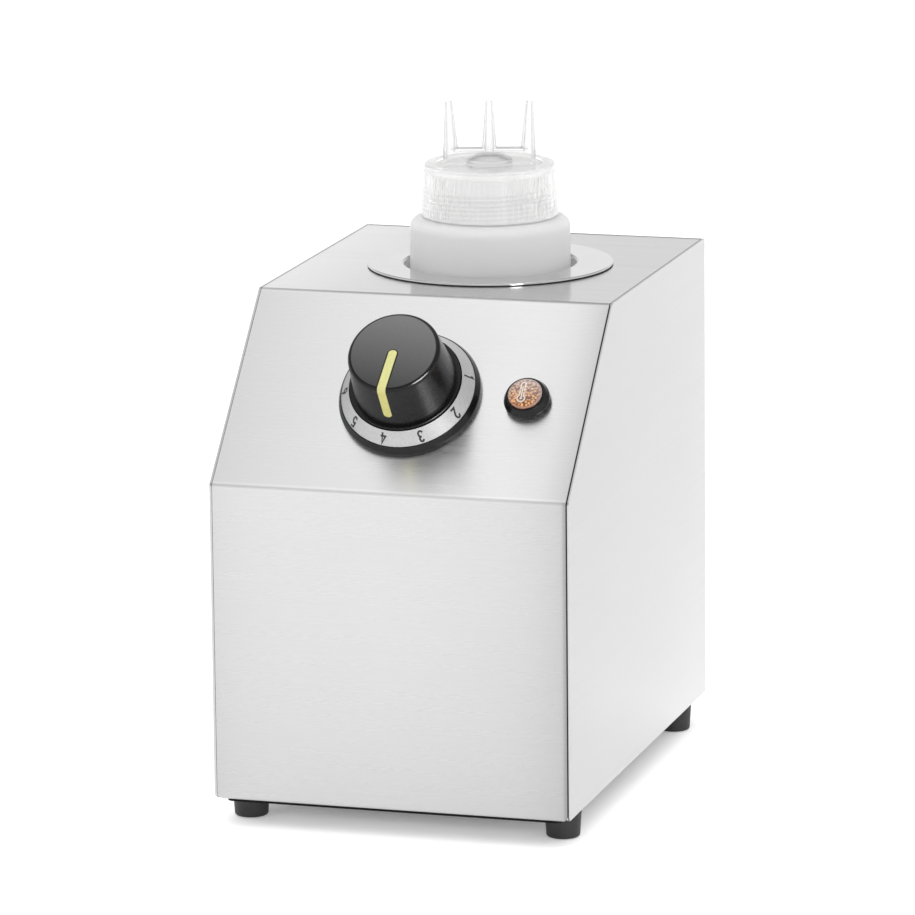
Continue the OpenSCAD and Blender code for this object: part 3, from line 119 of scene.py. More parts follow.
class Shader:
    """A material with one Principled BSDF and short ways to add nodes to it."""

    def __init__(self, name, color, roughness, metallic=0.0, **sockets):
        self.material = bpy.data.materials.new(name)
        self.material.use_nodes = True
        self.tree = self.material.node_tree
        self.bsdf = self.tree.nodes["Principled BSDF"]
        self.bsdf.inputs["Base Color"].default_value = (*color, 1.0)
        self.bsdf.inputs["Roughness"].default_value = roughness
        self.bsdf.inputs["Metallic"].default_value = metallic
        for socket, value in sockets.items():
            self.bsdf.inputs[socket.replace("_", " ")].default_value = value

    def node(self, kind, **settings):
        made = self.tree.nodes.new(kind)
        for key, value in settings.items():
            setattr(made, key, value)
        return made

    def wire(self, source, target):
        self.tree.links.new(source, target)

    def coords(self, scale=(1.0, 1.0, 1.0), rotation=(0.0, 0.0, 0.0)):
        """Object coordinates, scaled; a scale of 1 is one unit a metre."""
        place = self.node("ShaderNodeTexCoord")
        mapping = self.node("ShaderNodeMapping")
        mapping.inputs["Scale"].default_value = scale
        mapping.inputs["Rotation"].default_value = rotation
        self.wire(place.outputs["Object"], mapping.inputs["Vector"])
        return mapping.outputs["Vector"]

    def noise(self, vector, detail=3.0, roughness=0.5):
        made = self.node("ShaderNodeTexNoise")
        made.inputs["Scale"].default_value = 1.0
        made.inputs["Detail"].default_value = detail
        made.inputs["Roughness"].default_value = roughness
        self.wire(vector, made.inputs["Vector"])
        return made.outputs["Fac"]

    def spread(self, value, low, high, start=0.3, end=0.7):
        """Maps the range from start to end, by default that of noise, to the range from low to high."""
        made = self.node("ShaderNodeMapRange")
        for socket, number in (("From Min", start), ("From Max", end), ("To Min", low), ("To Max", high)):
            made.inputs[socket].default_value = number
        self.wire(value, made.inputs["Value"])
        return made.outputs["Result"]

    def math(self, operation, a, b=0.0):
        made = self.node("ShaderNodeMath", operation=operation)
        for socket, value in zip(made.inputs, (a, b)):
            if isinstance(value, (int, float)):
                socket.default_value = value
            else:
                self.wire(value, socket)
        return made.outputs["Value"]

    def gap(self, value, place):
        """How far a length in metres is from a place in millimetres."""
        return self.math("ABSOLUTE", self.math("SUBTRACT", value, place * MM))

    def mask(self, value, start, end, low=0.0, high=1.0):
        """From low to high while a length in metres goes from start to end in millimetres."""
        return self.spread(value, low, high, start * MM, end * MM)

    def pick(self, amount, first, second):
        """A value between two value outputs."""
        made = self.node("ShaderNodeMix", data_type="FLOAT")
        self.wire(amount, made.inputs["Factor"])
        self.wire(first, made.inputs["A"])
        self.wire(second, made.inputs["B"])
        return made.outputs["Result"]

    def blend(self, amount, first, second):
        """A colour between two colours or colour outputs."""
        made = self.node("ShaderNodeMix", data_type="RGBA")
        self.wire(amount, made.inputs["Factor"])
        for socket, color in ((made.inputs[COLOR_A], first), (made.inputs[COLOR_B], second)):
            if isinstance(color, tuple):
                socket.default_value = (*color, 1.0)
            else:
                self.wire(color, socket)
        return made.outputs[COLOR_RESULT]

    def paint(self, color):
        self.wire(color, self.bsdf.inputs["Base Color"])

    def dull(self, roughness):
        self.wire(roughness, self.bsdf.inputs["Roughness"])

    def emboss(self, height, distance, strength):
        made = self.node("ShaderNodeBump")
        made.inputs["Distance"].default_value = distance
        made.inputs["Strength"].default_value = strength
        self.wire(height, made.inputs["Height"])
        self.wire(made.outputs["Normal"], self.bsdf.inputs["Normal"])

    def ramp(self, value, stops):
        """A value read off a curve of (place, height) stops, with the places in millimetres."""
        start, end = stops[0][0], stops[-1][0]
        made = self.node("ShaderNodeFloatCurve")
        curve = made.mapping.curves[0]
        for point, (place, height) in zip(curve.points, (stops[0], stops[-1])):
            point.location = ((place - start) / (end - start), height)
        for place, height in stops[1:-1]:
            curve.points.new((place - start) / (end - start), height)
        made.mapping.update()
        self.wire(self.mask(value, start, end), made.inputs["Value"])
        return made.outputs["Value"]

    def places(self):
        """The three object coordinates, in metres."""
        split = self.node("ShaderNodeSeparateXYZ")
        self.wire(self.coords(), split.inputs[0])
        return split.outputs

    def axis_value(self, vector, axis):
        """The dot product of a vector output with a fixed axis."""
        made = self.node("ShaderNodeVectorMath", operation="DOT_PRODUCT")
        made.inputs[1].default_value = axis
        self.wire(vector, made.inputs[0])
        return made.outputs["Value"]

    def from_slope(self, u, v, *axes):
        """Distances from a point of the slope along the given axes, in metres."""
        offset = self.node("ShaderNodeVectorMath", operation="SUBTRACT")
        offset.inputs[1].default_value = on_slope(u, v, 0.0)
        place = self.node("ShaderNodeTexCoord")
        self.wire(place.outputs["Object"], offset.inputs[0])
        return [self.axis_value(offset.outputs["Vector"], axis) for axis in axes]

    def from_well(self):
        """How far a point is from the well's axis, along x and along y, in metres."""
        x, y, _ = self.places()
        return self.math("SUBTRACT", x, WELL_X * MM), self.math("SUBTRACT", y, WELL_Y * MM)

    def length(self, a, b):
        """The length of the vector with the two given components."""
        return self.math("SQRT", self.math("ADD", self.math("MULTIPLY", a, a), self.math("MULTIPLY", b, b)))


# Brush directions: scales of the long and the fine lines, and an axis that is tilted a little off the faces
BRUSHED_ALONG_X = ((3.0, 900.0, 900.0), (14.0, 2600.0, 2600.0), (1.0, 0.037, 0.021))
BRUSHED_ALONG_Y = ((900.0, 3.0, 900.0), (2600.0, 14.0, 2600.0), (0.037, 1.0, 0.021))


class BrushedSheet(Shader):
    """Stainless sheet with long fine brush lines, faint handling marks and an anisotropic sheen."""

    def __init__(self, name, direction, roughness, grain=1.0):
        super().__init__(name, grey(0.65), roughness, 1.0, Anisotropic=0.8)
        long_scale, fine_scale, axis = direction
        broad = self.noise(self.coords((9.0, 9.0, 9.0)), detail=2.0)
        lines = self.noise(self.coords(long_scale), detail=4.0, roughness=0.6)
        fine = self.noise(self.coords(fine_scale), detail=2.0)
        self.streaks = self.math("ADD", self.math("MULTIPLY", lines, 0.65), self.math("MULTIPLY", fine, 0.35))
        marks = self.spread(self.streaks, 1 - 0.04 * grain, 1 + 0.035 * grain)
        self.shade = self.math("MULTIPLY", marks, self.spread(broad, 0.985, 1.01))
        self.emboss(self.streaks, 0.00004 * grain, 0.5)
        geometry = self.node("ShaderNodeNewGeometry")
        cross = self.node("ShaderNodeVectorMath", operation="CROSS_PRODUCT")
        cross.inputs[1].default_value = axis
        self.wire(geometry.outputs["Normal"], cross.inputs[0])
        self.wire(cross.outputs["Vector"], self.bsdf.inputs["Tangent"])

    def tone(self, value):
        """Colours the sheet with a tone from 0 to 1, lightly marked by the brush lines."""
        combined = self.node("ShaderNodeCombineColor")
        marked = self.math("MULTIPLY", value, self.shade)
        for socket in combined.inputs:
            self.wire(marked, socket)
        self.paint(combined.outputs["Color"])


def wrap_steel():
    """Front, slope and top: painted reflection tones that differ from face to face and fade towards the
    edges, with the front painted darker towards its foot, a painted highlight along the crease, and painted
    shade at the top bend and in the right seam.
    """
    made = BrushedSheet("brushed_steel_wrap", BRUSHED_ALONG_X, 0.26, grain=0.8)
    x, _, z = made.places()
    # Painted reflection: each face's tone across its width; the front's falls near the right seam as painted
    # shade
    front_painted_reflection = made.ramp(x, (
        (-80, 0.60), (-62, 0.64), (-20, 0.66), (30, 0.64), (60, 0.605), (70, 0.57), (75, 0.545), (76.6, 0.52),
        (77.4, 0.43), (78.4, 0.36), (80, 0.35),
    ))
    slope_painted_reflection = made.ramp(x, (
        (-80, 0.72), (-64, 0.76), (-44, 0.80), (0, 0.85), (22, 0.87), (60, 0.85), (73, 0.74), (80, 0.60),
    ))
    top_painted_reflection = made.ramp(x, ((-80, 0.93), (-58, 0.86), (-40, 0.79), (20, 0.70), (80, 0.67)))
    # Painted shade: the front darker towards its foot
    climb = made.ramp(z, ((CASE_Z, 0.885), (40, 0.915), (95, 0.965), (CREASE_Z, 1.0)))
    front = made.math("MULTIPLY", front_painted_reflection, climb)
    on_slope_face = made.mask(z, CREASE_Z - 0.6, CREASE_Z + 0.8)
    on_top_face = made.mask(z, TOP_Z - 1.2, TOP_Z - 0.1)
    faces = made.pick(on_top_face, made.pick(on_slope_face, front, slope_painted_reflection), top_painted_reflection)
    # Painted highlight along the crease, which lightens the dark reflection of the bend
    crease = made.mask(made.gap(z, CREASE_Z), 0.3, 1.5, 1.22, 1.0)
    # Painted shade: a thin dark line along the top bend
    fold_painted_shade = made.mask(made.gap(z, TOP_Z - 0.4), 0.1, 0.45, 0.62, 1.0)
    # Painted shade in the right seam: the front's edge past SEAM_X near black
    seam_painted_shade = made.mask(x, SEAM_X, SEAM_X + 0.12, 1.0, 0.06)
    lines = made.math("MULTIPLY", made.math("MULTIPLY", crease, fold_painted_shade), seam_painted_shade)
    made.tone(made.math("MULTIPLY", faces, lines))
    glossier = made.math("MULTIPLY", on_top_face, 0.12)
    made.dull(made.math("SUBTRACT", made.spread(made.streaks, 0.25, 0.33), glossier))
    return made.material


def side_steel():
    """Side panels with painted reflection tones, a little brighter towards the rear and towards the bottom,
    and painted shade at the right panel's front seam and along the lower edge.
    """
    made = BrushedSheet("brushed_steel_side", BRUSHED_ALONG_Y, 0.30, grain=0.5)
    x, y, z = made.places()
    # Painted reflection: brighter towards the rear and towards the bottom
    along = made.ramp(y, ((-116, 0.53), (-40, 0.535), (60, 0.555), (116, 0.57)))
    climb = made.ramp(z, ((CASE_Z, 1.0), (40, 0.93), (90, 0.86), (TOP_Z, 0.84)))
    flat = made.math("MULTIPLY", along, made.math("MULTIPLY", climb, 1.14))
    geometry = made.node("ShaderNodeNewGeometry")
    forward = made.axis_value(geometry.outputs["True Normal"], (0.0, -1.0, 0.0))
    facing_front = made.math("GREATER_THAN", forward, 0.6)
    # Painted shade: the front edge near black where it meets the seam
    edge = made.mask(made.gap(x, BODY_W / 2 - SHEET_T), 0.28, 0.4, 0.05, 0.58)
    # Painted shade: a dark line along the lower edge
    low = made.mask(z, CASE_Z + 0.4, CASE_Z + 0.8, 0.3)
    made.tone(made.math("MULTIPLY", made.pick(facing_front, flat, edge), low))
    made.dull(made.spread(made.streaks, 0.28, 0.38))
    return made.material


def rear_steel():
    """Rear panel: a darker sheet with stronger brush lines."""
    made = BrushedSheet("brushed_steel_rear", BRUSHED_ALONG_X, 0.32, grain=0.7)
    made.tone(made.math("ADD", made.shade, -0.37))
    made.dull(made.spread(made.streaks, 0.28, 0.38))
    return made.material


def plate_steel():
    """Base plate: mill finish painted dark to sit in the shade under the casing, with its sideways edges
    painted near black as the shadow line under the front.
    """
    made = BrushedSheet("base_plate_steel", BRUSHED_ALONG_X, 0.34)
    geometry = made.node("ShaderNodeNewGeometry")
    flat = made.math("ABSOLUTE", made.axis_value(geometry.outputs["True Normal"], (0.0, 0.0, 1.0)))
    # Painted shade: edges near black, faces dark
    made.tone(made.spread(flat, 0.014, 0.45, 0.3, 0.7))
    made.dull(made.spread(made.streaks, 0.32, 0.42))
    return made.material


def plain_metal(name, color, roughness, flecks=900.0):
    """Plated or rolled metal with a mottled sheen and light tool marks."""
    made = Shader(name, color, roughness, 1.0)
    vector = made.coords((flecks, flecks, flecks))
    mottle = made.noise(vector, detail=4.0, roughness=0.65)
    dark = tuple(c * 0.82 for c in color)
    made.paint(made.blend(made.spread(mottle, 0.0, 1.0), dark, color))
    made.dull(made.spread(mottle, roughness - 0.06, roughness + 0.1))
    made.emboss(mottle, 0.00003, 0.4)
    return made.material


def polished_steel():
    """Polished stainless with a breath of haze, with a painted dark reflection at the pot's lip, and its
    drawn wall duller and painted lighter to lift the shade in the throat.
    """
    made = Shader("polished_steel", grey(0.82), 0.09, 1.0)
    haze = made.noise(made.coords((60.0, 60.0, 60.0)), detail=3.0)
    fine = made.noise(made.coords((1500.0, 1500.0, 1500.0)), detail=2.0)
    bright = made.blend(made.spread(haze, 0.0, 1.0), (0.62, 0.62, 0.625), grey(0.68))
    from_axis = made.length(*made.from_well())
    # Painted dark reflection on the lip round the bore
    outside = made.blend(made.mask(from_axis, BORE_R + 0.2, BORE_R + 1.6), grey(0.30), bright)
    # The drawn wall, painted lighter to lift the shade in the throat
    wall = made.mask(from_axis, BORE_R + 0.02, BORE_R + 0.08, 1.0, 0.0)
    made.paint(made.blend(wall, outside, grey(0.84)))
    made.dull(made.math("ADD", made.spread(haze, 0.07, 0.14), made.math("MULTIPLY", wall, 0.45)))
    made.emboss(fine, 0.000006, 0.3)
    return made.material


def moulded(name, color, roughness, grain=2200.0, depth=0.00003, tint=0.85, **sockets):
    """Moulded plastic or rubber with a fine skin."""
    made = Shader(name, color, roughness, **sockets)
    skin = made.noise(made.coords((grain, grain, grain)), detail=3.0, roughness=0.6)
    broad = made.noise(made.coords((90.0, 90.0, 90.0)), detail=2.0)
    made.paint(made.blend(made.spread(broad, 0.0, 1.0), tuple(c * tint for c in color), color))
    made.dull(made.spread(skin, max(0.02, roughness - 0.05), roughness + 0.08))
    made.emboss(skin, depth, 0.5)
    return made.material


def knob_bakelite():
    """Glossy black moulding whose flat top is turned to a satin grey-black, lightened up the slope by a
    painted reflection, with a thin line of painted shade round the pointer.
    """
    made = Shader("black_bakelite", (0.012, 0.012, 0.013), 0.2, Specular_IOR_Level=0.24)
    climb, height, beside, along = made.from_slope(
        KNOB_U, KNOB_V, ACROSS * 0.15 + UPHILL, OUTWARD, POINTER_ACROSS, POINTER_ALONG,
    )
    top = made.mask(height, KNOB_H - 0.09, KNOB_H - 0.02)
    rim = made.mask(height, KNOB_H - 2.6, KNOB_H - 1.6)
    skin = made.noise(made.coords((1800.0, 1800.0, 1800.0)), detail=3.0)
    body = made.blend(made.spread(skin, 0.0, 1.0), (0.004, 0.004, 0.0045), (0.009, 0.009, 0.0095))
    # Painted reflection: the top face lighter up the slope
    face_painted_reflection = made.blend(made.mask(climb, -19, 17), (0.042, 0.042, 0.043), (0.165, 0.165, 0.167))
    face = made.blend(made.spread(skin, 0.0, 0.14), face_painted_reflection, grey(0.02))
    behind = made.math("MAXIMUM", made.math("SUBTRACT", POINTER_START * MM, along), 0.0)
    reach = made.length(beside, behind)
    # Painted shade: a thin dark line just outside the pointer's edge
    pointer_painted_shade = made.mask(reach, POINTER_W / 2 + 0.42, POINTER_W / 2 + 0.55)
    made.paint(made.blend(top, body, made.blend(pointer_painted_shade, (0.008, 0.008, 0.006), face)))
    side = made.math("ADD", made.spread(skin, 0.20, 0.30), made.math("MULTIPLY", rim, -0.1))
    made.dull(made.math("ADD", side, made.math("MULTIPLY", top, 0.26)))
    made.emboss(skin, 0.00003, 0.4)
    return made.material


def pointer_inlay():
    """Pale yellow inlay with a thin edge of painted shade where it meets the moulding."""
    made = Shader("pale_yellow", (0.74, 0.74, 0.24), 0.5)
    beside, height = made.from_slope(KNOB_U, KNOB_V, POINTER_ACROSS, OUTWARD)
    # Painted shade along the inlay's edge
    rim = made.mask(made.math("ABSOLUTE", beside), POINTER_W / 2 - 0.22, POINTER_W / 2 - 0.1)
    specks = made.noise(made.coords((1400.0, 1400.0, 1400.0)), detail=4.0, roughness=0.7)
    cream = made.blend(made.spread(specks, 0.0, 1.0), (0.54, 0.53, 0.20), (0.68, 0.67, 0.28))
    deep = made.blend(made.spread(specks, 0.0, 1.0), (0.50, 0.46, 0.15), (0.62, 0.58, 0.21))
    faces = made.blend(made.mask(height, KNOB_H - 2.2, KNOB_H - 0.4), deep, cream)
    made.paint(made.blend(rim, faces, (0.10, 0.10, 0.03)))
    made.emboss(specks, 0.00004, 0.5)
    return made.material


def satin_ring():
    """Silver foil on the number ring, with a close sparkling texture."""
    made = Shader("satin_silver", grey(0.62), 0.42, 0.5)
    grain = made.noise(made.coords((2400.0, 2400.0, 2400.0)), detail=4.0, roughness=0.7)
    broad = made.noise(made.coords((160.0, 160.0, 160.0)), detail=2.0)
    speckled = made.blend(made.spread(grain, 0.0, 1.0), grey(0.35), grey(0.66))
    made.paint(made.blend(made.spread(broad, 0.0, 0.4), speckled, (0.46, 0.46, 0.465)))
    made.dull(made.spread(grain, 0.34, 0.52))
    made.emboss(grain, 0.00006, 0.6)
    return made.material


def woven_fibre():
    """Glass fibre jacket: crossing yarns with loose ends."""
    made = Shader("insulation_fibre", (0.72, 0.68, 0.56), 0.9, Sheen_Weight=0.3)
    waves = []
    for rotation in ((0.0, 0.0, 0.0), (0.0, math.pi / 2, 0.0)):
        wave = made.node("ShaderNodeTexWave", bands_direction="X")
        wave.inputs["Scale"].default_value = 280.0
        wave.inputs["Distortion"].default_value = 1.2
        made.wire(made.coords(rotation=rotation), wave.inputs["Vector"])
        waves.append(wave.outputs["Fac"])
    weave = made.math("MULTIPLY", waves[0], waves[1])
    made.paint(made.blend(made.spread(weave, 0.0, 1.0, 0.0, 1.0), (0.52, 0.48, 0.38), (0.80, 0.77, 0.66)))
    made.emboss(weave, 0.0005, 0.8)
    return made.material


def striped_sleeve():
    """Green sleeve with a yellow stripe."""
    made = Shader("earth_green", (0.10, 0.36, 0.08), 0.5)
    wave = made.node("ShaderNodeTexWave", bands_direction="X")
    wave.inputs["Scale"].default_value = 200.0
    made.wire(made.coords(), wave.inputs["Vector"])
    stripe = made.spread(wave.outputs["Fac"], 0.0, 1.0, 0.6, 0.66)
    skin = made.noise(made.coords((1200.0, 1200.0, 1200.0)))
    made.paint(made.blend(stripe, (0.08, 0.33, 0.06), (0.75, 0.66, 0.06)))
    made.emboss(skin, 0.00003, 0.4)
    return made.material


def thread_lines(made, color):
    """The neck's thread seen through the ring: pale lines on a slightly darker belt, painted light and shade
    of the thread behind the wall.
    """
    x, y = made.from_well()
    z = made.places()[2]
    turned = made.math("MULTIPLY", made.math("ARCTAN2", y, x), -THREAD_STARTS)
    climb = made.math("MULTIPLY", z, 2 * math.pi / (THREAD_GAP * MM))
    wave = made.math("SINE", made.math("ADD", climb, turned))
    low = made.mask(z, THREAD_LOW, THREAD_LOW + 1)
    high = made.mask(z, THREAD_HIGH - 1, THREAD_HIGH, 1.0, 0.0)
    lines = made.blend(made.spread(wave, 0.0, 1.0, 0.3, 0.9), grey(0.87), grey(1.0))
    return made.blend(made.math("MULTIPLY", low, high), color, lines)


def dome_shade(made, color):
    """The nozzle's hollow dome, painted a little darker than the disc round it, as shade."""
    inside = made.mask(made.length(*made.from_well()), DOME_R - 0.3, DOME_R, 1.0, 0.0)
    below = made.math("LESS_THAN", made.places()[2], DOME_TOP * MM)
    return made.blend(made.math("MULTIPLY", inside, below), color, grey(0.72))


def milky(
    name, tone, roughness, transmission, cloud, painted_glow,
    refraction=1.3, edge=1.0, edge_from=0.0, turn=(0.4, 0.9), marks=None,
):
    """Translucent polyethylene: cloudy and waxy; where it is higher than edge_from, painted darker where seen
    edge on; and given a faint white emission, which is painted light.

    marks(made, color) adds what else is drawn on its colour.
    """
    # The faint white emission is painted light that brightens the plastic
    made = Shader(name, grey(tone), roughness, Transmission_Weight=transmission, IOR=refraction,
                  Specular_IOR_Level=0.35, Emission_Strength=painted_glow)
    made.bsdf.inputs["Emission Color"].default_value = (1.0, 1.0, 1.0, 1.0)
    clouds = made.noise(made.coords((55.0, 55.0, 22.0)), detail=3.0)
    skin = made.noise(made.coords((700.0, 700.0, 700.0)), detail=3.0)
    cloudy = made.blend(made.spread(clouds, 0.0, 1.0), grey(tone * cloud), grey(tone))
    # Painted shade: darker where the surface is seen edge on
    facing = made.node("ShaderNodeLayerWeight")
    facing.inputs["Blend"].default_value = 0.5
    high = made.math("GREATER_THAN", made.places()[2], edge_from * MM)
    rim = made.math("MULTIPLY", made.spread(facing.outputs["Facing"], 0.0, 1.0, *turn), high)
    color = made.blend(rim, cloudy, grey(tone * edge))
    made.paint(marks(made, color) if marks else color)
    made.dull(made.spread(clouds, roughness - 0.05, roughness + 0.08))
    made.emboss(skin, 0.00003, 0.3)
    return made.material


def amber_lens():
    """Grained amber moulding, painted brighter and redder towards its lower half as light."""
    made = Shader("amber_lens", (0.80, 0.24, 0.035), 0.16, Coat_Weight=0.6, Coat_Roughness=0.08)
    cells = made.node("ShaderNodeTexVoronoi", feature="F1")
    cells.inputs["Scale"].default_value = 1.0
    made.wire(made.coords((900.0, 900.0, 900.0)), cells.inputs["Vector"])
    grain = cells.outputs["Distance"]
    beside, up = made.from_slope(LAMP_U, LAMP_V, ACROSS, UPHILL)
    # Painted light: brighter and redder low on the lens
    climb = made.mask(up, -6, 6.5)
    bright = made.blend(climb, (0.92, 0.44, 0.15), (0.56, 0.45, 0.40))
    dark = made.blend(climb, (0.13, 0.036, 0.010), (0.28, 0.21, 0.19))
    grains = made.blend(made.spread(grain, 0.0, 1.0, 0.26, 0.68), bright, dark)
    reach = made.length(beside, up)
    low = made.blend(made.mask(up, -6, -2), (0.40, 0.20, 0.13), (0.34, 0.25, 0.24))
    made.paint(made.blend(made.mask(reach, LENS_FACE_R - 0.5, LENS_FACE_R), grains, low))
    made.emboss(grain, 0.0003, 0.7)
    return made.material


STEEL_WRAP = wrap_steel()
STEEL_SIDE = side_steel()
STEEL_REAR = rear_steel()
STEEL_PLATE = plate_steel()
ZINC = plain_metal("zinc_steel", (0.60, 0.61, 0.62), 0.32)
BLACK_ZINC = plain_metal("black_zinc", (0.10, 0.10, 0.105), 0.45)
HEATER = plain_metal("heater_steel", (0.50, 0.49, 0.44), 0.5, flecks=400.0)
BRASS = plain_metal("brass", (0.78, 0.60, 0.28), 0.28)
COPPER = plain_metal("copper", (0.74, 0.42, 0.27), 0.3)
POLISHED = polished_steel()
RUBBER = moulded("black_rubber", grey(0.018), 0.55, grain=1500.0, depth=0.00008)
BAKELITE_TRIM = moulded(
    "black_bakelite_trim", (0.006, 0.006, 0.0065), 0.2, grain=1800.0, depth=0.00001, Specular_IOR_Level=0.28,
)
BAKELITE_KNOB = knob_bakelite()
INLAY = pointer_inlay()
SILVER = satin_ring()
FIBRE = woven_fibre()
PHENOLIC = moulded("brown_phenolic", (0.18, 0.075, 0.04), 0.4)
DARK_CASE = moulded("thermostat_case", (0.07, 0.07, 0.075), 0.45)
NYLON = moulded("white_nylon", (0.80, 0.79, 0.74), 0.5, tint=0.93)
BROWN_LEAD = moulded("brown_lead", (0.16, 0.07, 0.035), 0.5)
RED_LEAD = moulded("red_lead", (0.48, 0.035, 0.03), 0.45)
BLUE_LEAD = moulded("blue_lead", (0.03, 0.12, 0.42), 0.45)
BLACK_LEAD = moulded("black_lead", (0.02, 0.02, 0.022), 0.45)
EARTH_LEAD = striped_sleeve()
GLASS = moulded("clear_glass", (0.95, 0.90, 0.86), 0.05, tint=0.97, depth=0.000005, Transmission_Weight=0.9)
MILKY = milky("milky_plastic", 0.92, 0.38, transmission=0.5, cloud=0.96, painted_glow=0.045)
MILKY_RING = milky(
    "milky_ring", 0.97, 0.13, transmission=0.80, cloud=0.99, painted_glow=0.085, refraction=1.2, edge=0.66,
    marks=thread_lines,
)
CLEAR = milky(
    "clear_plastic", 0.945, 0.10, transmission=0.82, cloud=0.99, painted_glow=0.045, refraction=1.18, edge=0.4,
    edge_from=DOME_TOP, turn=(0.1, 0.75), marks=dome_shade,
)
SEAL = moulded("white_seal", (0.86, 0.86, 0.84), 0.55, tint=0.95)
AMBER = amber_lens()

# The nodes that each material goes on
FINISH = {
    STEEL_WRAP: ("casing_wrap",),
    STEEL_SIDE: ("left_side_panel", "right_side_panel"),
    STEEL_REAR: ("rear_panel",),
    STEEL_PLATE: ("base_plate",),
    ZINC: (
        "rear_panel_screws", "foot_screws", "foot_nuts", "well_studs", "well_nuts", "heater_clamp_bolt",
        "cutout_studs", "cutout_nuts", "thermostat_spindle", "thermostat_screws", "bulb_clips",
    ),
    BLACK_ZINC: ("base_plate_screws",),
    HEATER: ("band_heater",),
    BRASS: ("terminal_screws", "earth_stud", "earth_nuts"),
    COPPER: ("sensor_bulb", "capillary_tube"),
    POLISHED: ("well",),
    RUBBER: (
        "foot_front_left", "foot_front_right", "foot_rear_left", "foot_rear_right",
        "flange_seal", "cord_grommet",
    ),
    BAKELITE_TRIM: ("dial_bezel", "lamp_bezel", "lamp_nut"),
    BAKELITE_KNOB: ("knob",),
    INLAY: ("knob_pointer",),
    SILVER: ("dial_scale",),
    FIBRE: ("heater_insulation",),
    PHENOLIC: ("thermal_cutout",),
    DARK_CASE: ("thermostat_body",),
    NYLON: ("terminal_block",),
    BROWN_LEAD: ("line_lead",),
    RED_LEAD: ("switched_lead", "cutout_lead"),
    BLUE_LEAD: ("neutral_lead",),
    BLACK_LEAD: ("lamp_leads",),
    EARTH_LEAD: ("earth_lead",),
    GLASS: ("neon_bulb",),
    MILKY: ("bottle",),
    MILKY_RING: ("bottle_collar",),
    CLEAR: ("tri_nozzle",),
    SEAL: ("cap_seal",),
    AMBER: ("lamp_lens",),
}

for material, names in FINISH.items():
    for name in names:
        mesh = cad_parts[name].data
        mesh.materials.clear()
        mesh.materials.append(material)
        for polygon in mesh.polygons:
            polygon.material_index = 0


# Dial numbers: pen strokes, with x counted in DIGIT_W from the figure's middle and y in DIGIT_H from its foot
def arc(cx, cy, rx, ry, start, end, steps=14):
    return [
        (cx + rx * math.cos(math.radians(start + (end - start) * i / steps)),
         cy + ry * math.sin(math.radians(start + (end - start) * i / steps)))
        for i in range(steps + 1)
    ]


FIGURES = {
    0: [arc(0.0, 0.5, 0.28, 0.5, 90, 450, 24)],
    1: [[(-0.22, 0.8), (0.0, 1.0), (0.0, 0.0)]],
    2: [arc(0.0, 0.72, 0.26, 0.28, 165, -35) + [(-0.27, 0.0), (0.29, 0.0)]],
    3: [arc(-0.02, 0.76, 0.25, 0.24, 150, -80), arc(-0.02, 0.27, 0.29, 0.27, 88, -150)],
    4: [[(0.14, 0.0), (0.14, 1.0), (-0.3, 0.28), (0.32, 0.28)]],
    5: [[(0.24, 1.0), (-0.2, 1.0), (-0.24, 0.54)] + arc(-0.02, 0.31, 0.28, 0.31, 132, -145)],
    6: [[(0.14, 1.0)] + arc(0.02, 0.3, 0.27, 0.3, 150, 510, 22)],
}
DIGIT_ANGLES = {0: 90.0, 1: 13.5, 2: 333.4, 3: 294.7, 4: 259.5, 5: 224.5, 6: 189.0}
DIGIT_W, DIGIT_H, DIGIT_PEN, DIGIT_SHIFT = 3.3, 4.7, 0.82, 0.3
PROUD, PEN_END, MITRE_MIN = 0.06, 0.3, 0.5
RING_IN_R, RING_IN_H, RING_OUT_R, RING_OUT_H = 24.9, 10.8, 29.4, 5.5


def ring_place(angle, x, y, lift):
    """A point of the conical ring, from a figure's own x and y in millimetres about the figure's middle."""
    slant = math.hypot(RING_OUT_R - RING_IN_R, RING_IN_H - RING_OUT_H)
    share = 0.5 + y / slant
    radius = RING_IN_R + (RING_OUT_R - RING_IN_R) * share
    h = RING_IN_H + (RING_OUT_H - RING_IN_H) * share
    out = ((RING_IN_H - RING_OUT_H) / slant, (RING_OUT_R - RING_IN_R) / slant)
    turn = angle - math.degrees(x / radius)
    return dial_point(radius + out[0] * lift, turn, h + out[1] * lift)


def ribbon(mesh, path, width, place):
    """Adds a flat stroke with thickness along a path; place(x, y, lift) puts its points on their surface."""
    points = [Vector(p) for p in path]
    count = len(points)
    rings = []
    for i, p in enumerate(points):
        before = (p - points[i - 1]).normalized() if i else (points[1] - p).normalized()
        after = (points[i + 1] - p).normalized() if i < count - 1 else before
        mid = (before + after).normalized()
        side = Vector((-mid.y, mid.x)) * width / 2 / max(MITRE_MIN, mid.dot(before))
        ends = (-mid if i == 0 else mid if i == count - 1 else Vector((0, 0))) * width * PEN_END
        left, right = p + side + ends, p - side + ends
        corners = (left, -PROUD), (left, PROUD), (right, PROUD), (right, -PROUD)
        rings.append([mesh.verts.new(place(q.x, q.y, lift)) for q, lift in corners])
    for a, b in zip(rings, rings[1:]):
        for k in range(4):
            mesh.faces.new((a[k], a[(k + 1) % 4], b[(k + 1) % 4], b[k]))
    mesh.faces.new(list(reversed(rings[0])))
    mesh.faces.new(rings[-1])


def finish_mesh(name, mesh, material, body, smooth=False):
    """Makes a piece of the mesh, riding on a body."""
    bmesh.ops.recalc_face_normals(mesh, faces=mesh.faces)
    data = bpy.data.meshes.new(name)
    mesh.to_mesh(data)
    mesh.free()
    for polygon in data.polygons:
        polygon.use_smooth = smooth
    data.materials.append(material)
    obj = link(bpy.data.objects.new(name, data))
    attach(obj, body)
    return obj


